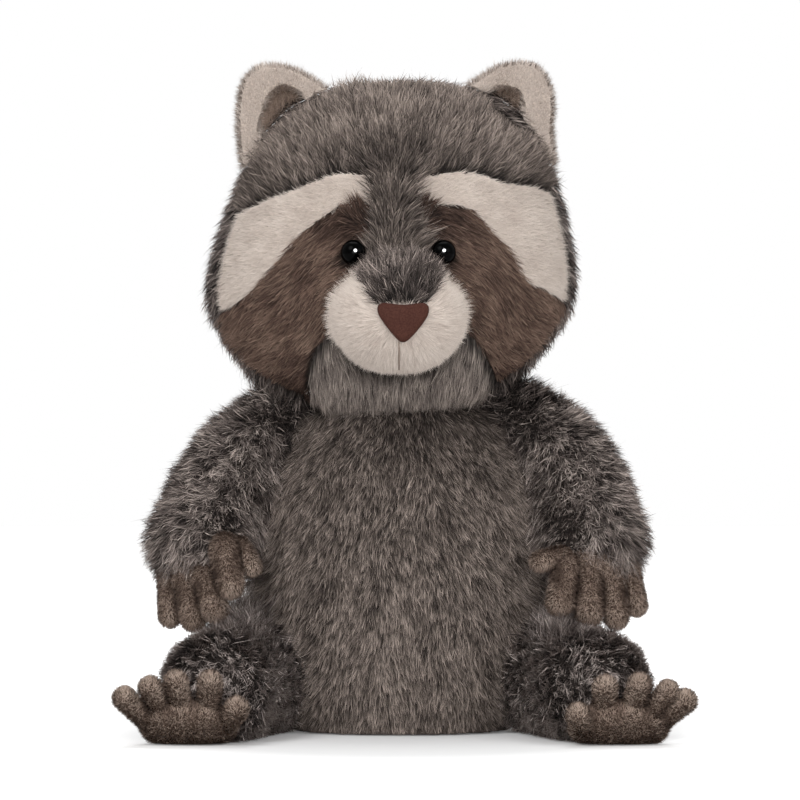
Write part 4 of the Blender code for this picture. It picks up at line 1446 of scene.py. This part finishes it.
            # Painted shade: dark_corner darkens the mask in its upper inner corner, under the brow beside the
            # bridge.
            dark_corner = Spot((middle + 0.0145 * sign, -0.050, 0.203), (0.016, 0.040, 0.016), tone=-0.35)
            upward = Spot((middle + 0.0110 * sign, -0.050, 0.203), (0.007, 0.040, 0.007), longer=0.3,
                          push=(-0.3 * sign, -0.3, 1.5))
            cheek = Spot((middle + 0.062 * sign, -0.030, 0.150), (0.022, 0.045, 0.024),
                         longer=0.30 - 0.25 * sign, push=(0.5 * sign, 0.1, -0.1))
            inner_end = Spot((middle + 0.0100 * sign, -0.050, 0.206), (0.005, 0.040, 0.005), longer=-0.7)
            brow = Lay((1.0 * sign, 0.3, -0.6), stray=28.0, spots=(inner_end,))
            mask = Lay((0.75 * sign, 0.3, -0.75), stray=8.0, swirl=10.0,
                       spots=(mask_hem, dark_corner, upward, cheek))
            chin = Lay((0.10 * sign, -0.1, -1.0), stray=9.0, spots=(over_chest,))
            pelts |= {f"brow_{side}": (BROW_COAT, brow), f"mask_{side}": (MASK_COAT, mask),
                      f"chin_{side}": (CHIN_COAT, chin), f"muzzle_{side}": (MUZZLE_COAT, muzzle)}
        return pelts

    def dress(self, others: tuple[Form, ...]) -> None:
        """Makes the eyes and the nose, and grows the pile round them.

        Args:
            others: The forms that the head touches.
        """
        bare = self.build_eyes() + self.build_nose() + (self.build_crease(),)
        grow(self.form, others + tuple(self.ears.values()), self.pelts(), 11, bare)
        for number, (side, sign) in enumerate(SIDES.items()):
            out = Lay((0.35 * sign, 0.0, 1.0), stray=45.0)
            inner = Lay((0.2 * sign, 0.0, 1.0), stray=30.0)
            grow(self.ears[side], (self.form,),
                 {f"ear_{side}": (EAR_COAT, out), f"ear_lining_{side}": (LINING_COAT, inner)}, 21 + number)


@dataclass
class Torso:
    """The body and the tail."""

    form: Form = field(default_factory=lambda: Form(
        "body", ("torso_front", "torso_back", "seat_panel"), ("body_stuffing", "pellet_pouch"),
        0.0034, 0.0032))
    tail: Form = field(default_factory=lambda: Form(
        "tail", tuple(f"tail_band_{number}" for number in range(1, 6)), ("tail_stuffing",), 0.0022, 0.0032))

    def build(self) -> None:
        """Makes the forms of the body and the tail."""
        self.form.build()
        self.tail.build()

    def draw_in(self, others: tuple[Form, ...]) -> None:
        """Makes the backing cloth of the body and the tail, and the body's flat base.

        Args:
            others: The forms that the body touches.
        """
        dark = BACKING.material()
        self.form.draw_in(others + (self.tail,), {"": dark, "seat_panel": SEAT_CLOTH.material()}, 0.8)
        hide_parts("seat_panel")
        self.tail.draw_in((self.form,), {"": dark}, 0.7)

    def dress(self, others: tuple[Form, ...]) -> None:
        """Grows the pile on the body and the tail.

        Args:
            others: The forms that the body touches.
        """
        flanks = []
        for sign in SIDES.values():
            flanks.append(Spot((0.058 * sign, -0.005, 0.060), (0.018, 0.040, 0.036), longer=1.0, lift=32.0,
                               push=(0.5 * sign, -0.2, 0.0)))
        # Painted light: the pile on the body's sides, beside the arms, is paler.
        for sign in SIDES.values():
            flanks.append(Spot((0.052 * sign, -0.020, 0.070), (0.018, 0.060, 0.060), tone=0.24))
        # Painted light: the pile low on the front of the body is paler.
        flanks.append(Spot((0.0, -0.045, 0.030), (0.050, 0.040, 0.045), tone=0.12))
        # Painted shade: the top of the chest, under the chin, is darker.
        breast = Spot((0.0, -0.040, 0.122), (0.034, 0.030, 0.020), tone=-0.15)
        front = Lay((0.0, 0.0, -1.0), (0.0, 0.0, 0.0), (16.0, 12.0, 0.0), stray=12.0, swirl=14.0,
                    swirl_size=0.022, spots=(breast, *flanks))
        back = Lay((0.0, 0.0, -1.0), (0.0, 0.0, 0.0), (6.0, 12.0, 0.0), stray=10.0, spots=tuple(flanks))
        grow(self.form, others + (self.tail,),
             {"torso_front": (GREY_COAT, front), "torso_back": (TORSO_BACK_COAT, back)}, 31)
        bands = {}
        for number in range(1, 6):
            coat = TAIL_DARK_COAT if number % 2 == 0 else TAIL_COAT
            bands[f"tail_band_{number}"] = (coat, Lay((0.0, 1.0, 0.0), stray=14.0))
        grow(self.tail, (self.form,), bands, 41)


def stuffed_limbs(kind: str) -> dict[str, Form]:
    """Describes the two arms or the two legs.

    Args:
        kind: The word that their CAD nodes start with.

    Returns:
        The forms of the left and the right side.
    """
    return {side: Form(f"{kind}_{side}", (f"{kind}_{side}",), (f"{kind}_stuffing_{side}",), 0.0024, 0.0024)
            for side in SIDES}


def paw(name: str, palm: Triple, palm_size: Triple, lean: float, *digits: tuple) -> Paw:
    """Describes a hand or foot.

    Args:
        name: Its CAD node.
        palm: The middle of its palm or sole.
        palm_size: The palm's half sizes.
        lean: How far the palm leans, in degrees.
        digits: The ends and the radii of each finger or toe.

    Returns:
        The hand or foot.
    """
    return Paw(name, (name,), (), 0.0, 0.0009, palm=palm, palm_size=palm_size, lean=lean,
               digits=tuple(Digit(*digit) for digit in digits))


@dataclass
class Limbs:
    """The arms with their hands, and the legs with their feet."""

    arms: dict[str, Form] = field(default_factory=lambda: stuffed_limbs("arm"))
    legs: dict[str, Form] = field(default_factory=lambda: stuffed_limbs("leg"))
    hands: dict[str, Paw] = field(default_factory=lambda: {
        "left": paw(
            "hand_left", (0.0735, -0.0320, 0.0665), (0.0155, 0.0105, 0.0115), 0.0,
            ((0.0640, -0.0385, 0.0705), (0.0545, -0.0430, 0.0685), 0.0050, 0.0047),
            ((0.0655, -0.0400, 0.0670), (0.0625, -0.0455, 0.0530), 0.0062, 0.0064),
            ((0.0740, -0.0380, 0.0635), (0.0740, -0.0440, 0.0488), 0.0062, 0.0063),
            ((0.0832, -0.0345, 0.0630), (0.0845, -0.0405, 0.0468), 0.0058, 0.0058),
            ((0.0895, -0.0290, 0.0650), (0.0928, -0.0310, 0.0512), 0.0056, 0.0054)),
        "right": paw(
            "hand_right", (-0.0770, -0.0310, 0.0660), (0.0150, 0.0095, 0.0115), 8.0,
            ((-0.0625, -0.0375, 0.0740), (-0.0580, -0.0405, 0.0665), 0.0048, 0.0046),
            ((-0.0685, -0.0420, 0.0735), (-0.0662, -0.0475, 0.0594), 0.0068, 0.0063),
            ((-0.0770, -0.0395, 0.0625), (-0.0722, -0.0450, 0.0502), 0.0058, 0.0062),
            ((-0.0850, -0.0350, 0.0610), (-0.0808, -0.0405, 0.0465), 0.0056, 0.0061),
            ((-0.0910, -0.0290, 0.0610), (-0.0903, -0.0320, 0.0470), 0.0053, 0.0055))})
    feet: dict[str, Paw] = field(default_factory=lambda: {
        "left": paw(
            "foot_left", (0.0835, -0.0870, 0.0068), (0.0200, 0.0146, 0.0082), -36.0,
            ((0.0700, -0.0910, 0.0070), (0.0675, -0.0980, 0.0118)),
            ((0.0775, -0.0905, 0.0115), (0.0775, -0.1000, 0.0225)),
            ((0.0880, -0.0905, 0.0125), (0.0905, -0.1000, 0.0232)),
            ((0.0945, -0.0900, 0.0105), (0.1012, -0.0990, 0.0208)),
            ((0.0985, -0.0890, 0.0090), (0.1078, -0.0975, 0.0172))),
        "right": paw(
            "foot_right", (-0.0805, -0.0870, 0.0072), (0.0195, 0.0146, 0.0082), -36.0,
            ((-0.0660, -0.0905, 0.0085), (-0.0618, -0.0980, 0.0142)),
            ((-0.0725, -0.0905, 0.0115), (-0.0718, -0.1000, 0.0242)),
            ((-0.0828, -0.0905, 0.0120), (-0.0846, -0.1000, 0.0242)),
            ((-0.0895, -0.0900, 0.0115), (-0.0944, -0.0990, 0.0222)),
            ((-0.0960, -0.0890, 0.0095), (-0.1042, -0.0975, 0.0182)))})

    def build(self) -> None:
        """Makes the forms of the limbs."""
        for forms in (self.arms, self.legs, self.hands, self.feet):
            for form in forms.values():
                form.build()

    def draw_in(self, body: Form, head: Form) -> None:
        """Makes the backing cloth of the limbs.

        Args:
            body: The body's form.
            head: The head's form.
        """
        dark, velour = BACKING.material(), VELOUR_BACKING.material()
        for side in SIDES:
            arm, leg, hand, foot = self.arms[side], self.legs[side], self.hands[side], self.feet[side]
            arm.draw_in((body, head, hand), {"": dark}, 0.7)
            leg.draw_in((body, foot), {"": dark}, 0.8)
            hand.draw_in((arm,), {"": velour}, 0.8)
            foot.draw_in((leg,), {"": velour}, 0.8)

    def dress(self, body: Form, head: Form) -> None:
        """Grows the pile on the limbs.

        Args:
            body: The body's form.
            head: The head's form.
        """
        for number, (side, sign) in enumerate(SIDES.items()):
            arm, leg, hand, foot = self.arms[side], self.legs[side], self.hands[side], self.feet[side]
            cuff = (
                Spot((0.056 * sign, -0.015, 0.072), (0.018, 0.030, 0.022), longer=0.6, lift=8.0,
                     push=(-0.2 * sign, 0.1, -0.7)),
                Spot((0.098 * sign, -0.020, 0.074), (0.020, 0.030, 0.018), longer=0.4, lift=10.0,
                     push=(0.5 * sign, 0.0, -0.1)),
                Spot((0.066 * sign, -0.038, 0.079), (0.014, 0.018, 0.014), longer=-0.5, lift=18.0),
                Spot((0.086 * sign, -0.036, 0.070), (0.014, 0.018, 0.012), longer=0.2,
                     push=(0.0, -0.3, -0.6)),
                Spot((0.040 * sign, -0.030, 0.132), (0.022, 0.045, 0.016), longer=0.7, push=(0.0, -0.3, 0.5)),
                # Painted shade: a darker, shorter band where the arm meets the body.
                Spot((0.046 * sign, -0.020, 0.100), (0.004, 0.060, 0.045), tone=-0.5, longer=-0.2),
            )
            # The tone in these spots is painted light: paler pile on the thigh and low on the leg, which lie
            # in shade under the hands and the body.
            hip = (
                Spot((0.060 * sign, -0.030, 0.047), (0.012, 0.045, 0.026), longer=0.9, lift=30.0, tone=0.15,
                     push=(0.2 * sign, 0.0, 0.5)),
                Spot((0.046 * sign, -0.050, 0.030), (0.014, 0.060, 0.040), longer=-0.3, tone=0.15),
                Spot((0.070 * sign, -0.006, 0.046), (0.026, 0.028, 0.024), longer=0.9, lift=28.0,
                     push=(0.0, -0.1, 0.4)),
                Spot((0.074 * sign, -0.050, 0.042), (0.018, 0.020, 0.014), longer=-0.35),
                Spot((0.066 * sign, -0.060, 0.016), (0.034, 0.050, 0.026), tone=0.20),
                Spot((0.083 * sign, -0.088, 0.020), (0.034, 0.026, 0.024), longer=-0.5),
            )
            down = Lay((0.60 * sign, -0.1, -1.0), stray=32.0, swirl=25.0, swirl_size=0.018, spots=cuff)
            ahead = Lay((0.45 * sign, -1.0, -0.1), stray=40.0, swirl=30.0, swirl_size=0.018, spots=hip)
            lit = Spot((0.085 * sign, -0.095, 0.010), (0.045, 0.040, 0.040), tone=0.20)
            grow(arm, (body, head, hand), {f"arm_{side}": (CURLY_COAT, down)}, 51 + number)
            grow(leg, (body, foot), {f"leg_{side}": (LEG_COAT, ahead)}, 61 + number)
            on_hand = Lay((0.0, -0.2, -1.0), stray=35.0, spots=hand.spots())
            on_foot = Lay((0.0, -0.3, 1.0), stray=35.0, spots=(lit, *foot.spots()))
            grow(hand, (arm, body, leg), {f"hand_{side}": (VELOUR_COAT, on_hand)}, 71 + number)
            grow(foot, (leg,), {f"foot_{side}": (VELOUR_COAT, on_foot)}, 81 + number)


@dataclass
class Studio:
    """The plain floor, the soft lamps and the camera."""

    eye_height: float = 0.120
    distance: float = 1.8
    focal_pixels: float = 4500.0
    frame_pixels: float = 800.0
    horizon_row: float = 429.4
    sensor: float = 36.0
    near_glow: float = 0.08
    far_glow: float = 0.80
    glow_start: float = 0.14
    glow_end: float = 0.30
    room_light: float = 0.42
    floor_half: float = 2.5
    floor_back: float = 1.2
    glow_widening: float = 1.5

    def camera(self) -> None:
        """Sets the camera at the photograph's place."""
        data = bpy.data.cameras.new("camera")
        data.sensor_width = self.sensor
        data.lens = self.sensor * self.focal_pixels / self.frame_pixels
        data.clip_start, data.clip_end = 0.05, 20.0
        camera = new_object("camera", data)
        tilt = math.atan((self.horizon_row - self.frame_pixels / 2) / self.focal_pixels)
        camera.location = (0.0, -self.distance, self.eye_height)
        camera.rotation_euler = (math.pi / 2 + tilt, 0.0, 0.0)
        bpy.context.scene.camera = camera

    @staticmethod
    def lamp(name: str, place: Triple, target: Triple, size: float, watts: float) -> bpy.types.Object:
        """Adds a soft round lamp.

        Args:
            name: The lamp's name.
            place: Where it hangs.
            target: The point that it faces.
            size: Its diameter.
            watts: Its power.

        Returns:
            The lamp.
        """
        data = bpy.data.lights.new(name, "AREA")
        data.shape = "DISK"
        data.size = size
        data.energy = watts
        lamp = new_object(name, data)
        lamp.location = place
        lamp.rotation_euler = (Vector(target) - Vector(place)).to_track_quat("-Z", "Y").to_euler()
        return lamp

    def seen(self, tree: bpy.types.NodeTree) -> bpy.types.Node:
        """Adds nodes that say whether a ray comes from the camera, or by a mirror or glass.

        Args:
            tree: The node tree of the floor or the world.

        Returns:
            The node whose value is one for such rays.
        """
        path = add_node(tree, "LightPath")
        first = add_node(tree, "Math", operation="MAXIMUM")
        second = add_node(tree, "Math", operation="MAXIMUM")
        link(tree, (path.outputs["Is Camera Ray"], first.inputs[0]),
             (path.outputs["Is Glossy Ray"], first.inputs[1]), (first.outputs[0], second.inputs[0]),
             (path.outputs["Is Transmission Ray"], second.inputs[1]))
        return second

    def floor(self) -> None:
        """Makes the pale floor, which keeps the toy's soft shadow."""
        work = bmesh.new()
        bmesh.ops.create_grid(work, x_segments=8, y_segments=8, size=self.floor_half)
        bmesh.ops.translate(work, verts=work.verts[:], vec=(0.0, self.floor_back, 0.0))
        mesh = finished(work, "floor")
        floor = new_object("floor", mesh)
        made, tree, shader = start_material("floor_paper", 0.9, 0.1)
        shader.inputs["Base Color"].default_value = (0.80, 0.80, 0.80, 1.0)
        glow = add_node(tree, "Emission")
        both = add_node(tree, "AddShader")
        share = add_node(tree, "Math", operation="MULTIPLY")
        place = add_node(tree, "TexCoord")
        wide = add_node(tree, "VectorMath", {1: (self.glow_widening, 1.0, 1.0)}, operation="MULTIPLY")
        away = add_node(tree, "VectorMath", operation="LENGTH")
        level = add_node(tree, "MapRange", {"From Min": self.glow_start, "From Max": self.glow_end,
                                            "To Min": self.near_glow, "To Max": self.far_glow})
        link(tree, (place.outputs["Object"], wide.inputs[0]), (wide.outputs["Vector"], away.inputs[0]),
             (away.outputs["Value"], level.inputs["Value"]), (level.outputs["Result"], share.inputs[1]),
             (self.seen(tree).outputs[0], share.inputs[0]), (share.outputs[0], glow.inputs["Strength"]),
             (shader.outputs[0], both.inputs[0]), (glow.outputs[0], both.inputs[1]),
             (both.outputs[0], tree.nodes["Material Output"].inputs["Surface"]))
        mesh.materials.append(made)

    def world(self) -> None:
        """Makes the even light of the room and the white background."""
        world = bpy.data.worlds.new("studio")
        bpy.context.scene.world = world
        world.use_nodes = True
        tree = world.node_tree
        background = tree.nodes["Background"]
        background.inputs["Color"].default_value = (1.0, 1.0, 1.0, 1.0)
        strength = add_node(tree, "MapRange", {"To Min": self.room_light, "To Max": 1.0})
        link(tree, (self.seen(tree).outputs[0], strength.inputs["Value"]),
             (strength.outputs["Result"], background.inputs["Strength"]))

    def build(self) -> None:
        """Builds the whole studio."""
        self.camera()
        self.floor()
        self.world()
        self.lamp("key", (-0.7, -1.2, 1.3), (0.0, 0.0, 0.12), 1.0, 14.0)
        self.lamp("fill", (1.1, -1.1, 0.7), (0.0, 0.0, 0.12), 1.0, 6.0)
        self.lamp("top", (0.0, 0.3, 1.5), (0.0, 0.0, 0.1), 1.1, 9.0)
        self.lamp("front", (-0.15, -1.95, 0.30), (0.0, 0.0, 0.10), 0.6, 9.0)
        self.lamp("low", (0.25, -2.10, 0.20), (0.0, 0.0, 0.04), 1.1, 16.0)
        self.lamp("back", (0.5, 1.6, 1.0), (0.0, 0.0, 0.12), 1.1, 9.0)
        bpy.context.scene.view_settings.view_transform = "Standard"

    def eye_light(self) -> None:
        """Adds the small softbox in front that lights only the eyes, for the highlight in each."""
        lamp = self.lamp("eye_light", (0.13, -0.60, 0.38), (0.0, -0.05, 0.19), 0.28, 200.0)
        lamp.visible_camera = False
        eyes = bpy.data.collections.new("eyes")
        for side in SIDES:
            eyes.objects.link(bpy.data.objects[f"eye_dome_{side}"])
        lamp.light_linking.receiver_collection = eyes


FILLING_VOXEL = 0.006
FILLING_GAP = 0.0022


def build_filling(node: str) -> None:
    """Makes the loose filling under the backing cloth, a little smaller than its CAD node.

    Args:
        node: The filling's CAD node.
    """
    filling = new_object(f"{node}_fibre", finished(solid(node), f"{node}_fibre"))
    even_out(filling, FILLING_VOXEL, 8)
    puff(filling, -FILLING_GAP)
    Form.settle(filling)
    cover(filling.data, FIBRE.material())
    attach(filling, BODY)
    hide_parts(node)
    LOG.info("%s_fibre: %d faces", node, len(filling.data.polygons))


def dress_inner_nodes() -> None:
    """Gives the filling, the washers and the pouch inside the toy their finishes."""
    finishes = {
        "tail_stuffing": FIBRE, "pellet_pouch": LINEN,
        "arm_stuffing_left": FIBRE, "arm_stuffing_right": FIBRE, "leg_stuffing_left": FIBRE,
        "leg_stuffing_right": FIBRE, "eye_washer_left": WASHER_GLOSS, "eye_washer_right": WASHER_GLOSS,
    }
    made = {finish: finish.material() for finish in dict.fromkeys(finishes.values())}
    for node, finish in finishes.items():
        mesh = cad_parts[node].data
        mesh.materials.clear()
        mesh.materials.append(made[finish])


def main() -> None:
    """Builds the toy and its studio, and logs the size of each piece that it makes."""
    logging.basicConfig(level=logging.INFO, format="%(message)s", stream=sys.stdout)
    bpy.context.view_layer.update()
    studio = Studio()
    studio.build()
    dress_inner_nodes()
    for node in ("head_stuffing", "body_stuffing"):
        build_filling(node)
    torso, limbs, head = Torso(), Limbs(), Head()
    for part in (torso, limbs, head):
        part.build()
    arms, legs = tuple(limbs.arms.values()), tuple(limbs.legs.values())
    head.draw_in((torso.form,) + arms)
    torso.draw_in((head.form,) + arms + legs)
    limbs.draw_in(torso.form, head.form)
    head.dress((torso.form,) + arms)
    studio.eye_light()
    torso.dress((head.form,) + arms + legs)
    limbs.dress(torso.form, head.form)


if __name__ == "__main__":
    main()
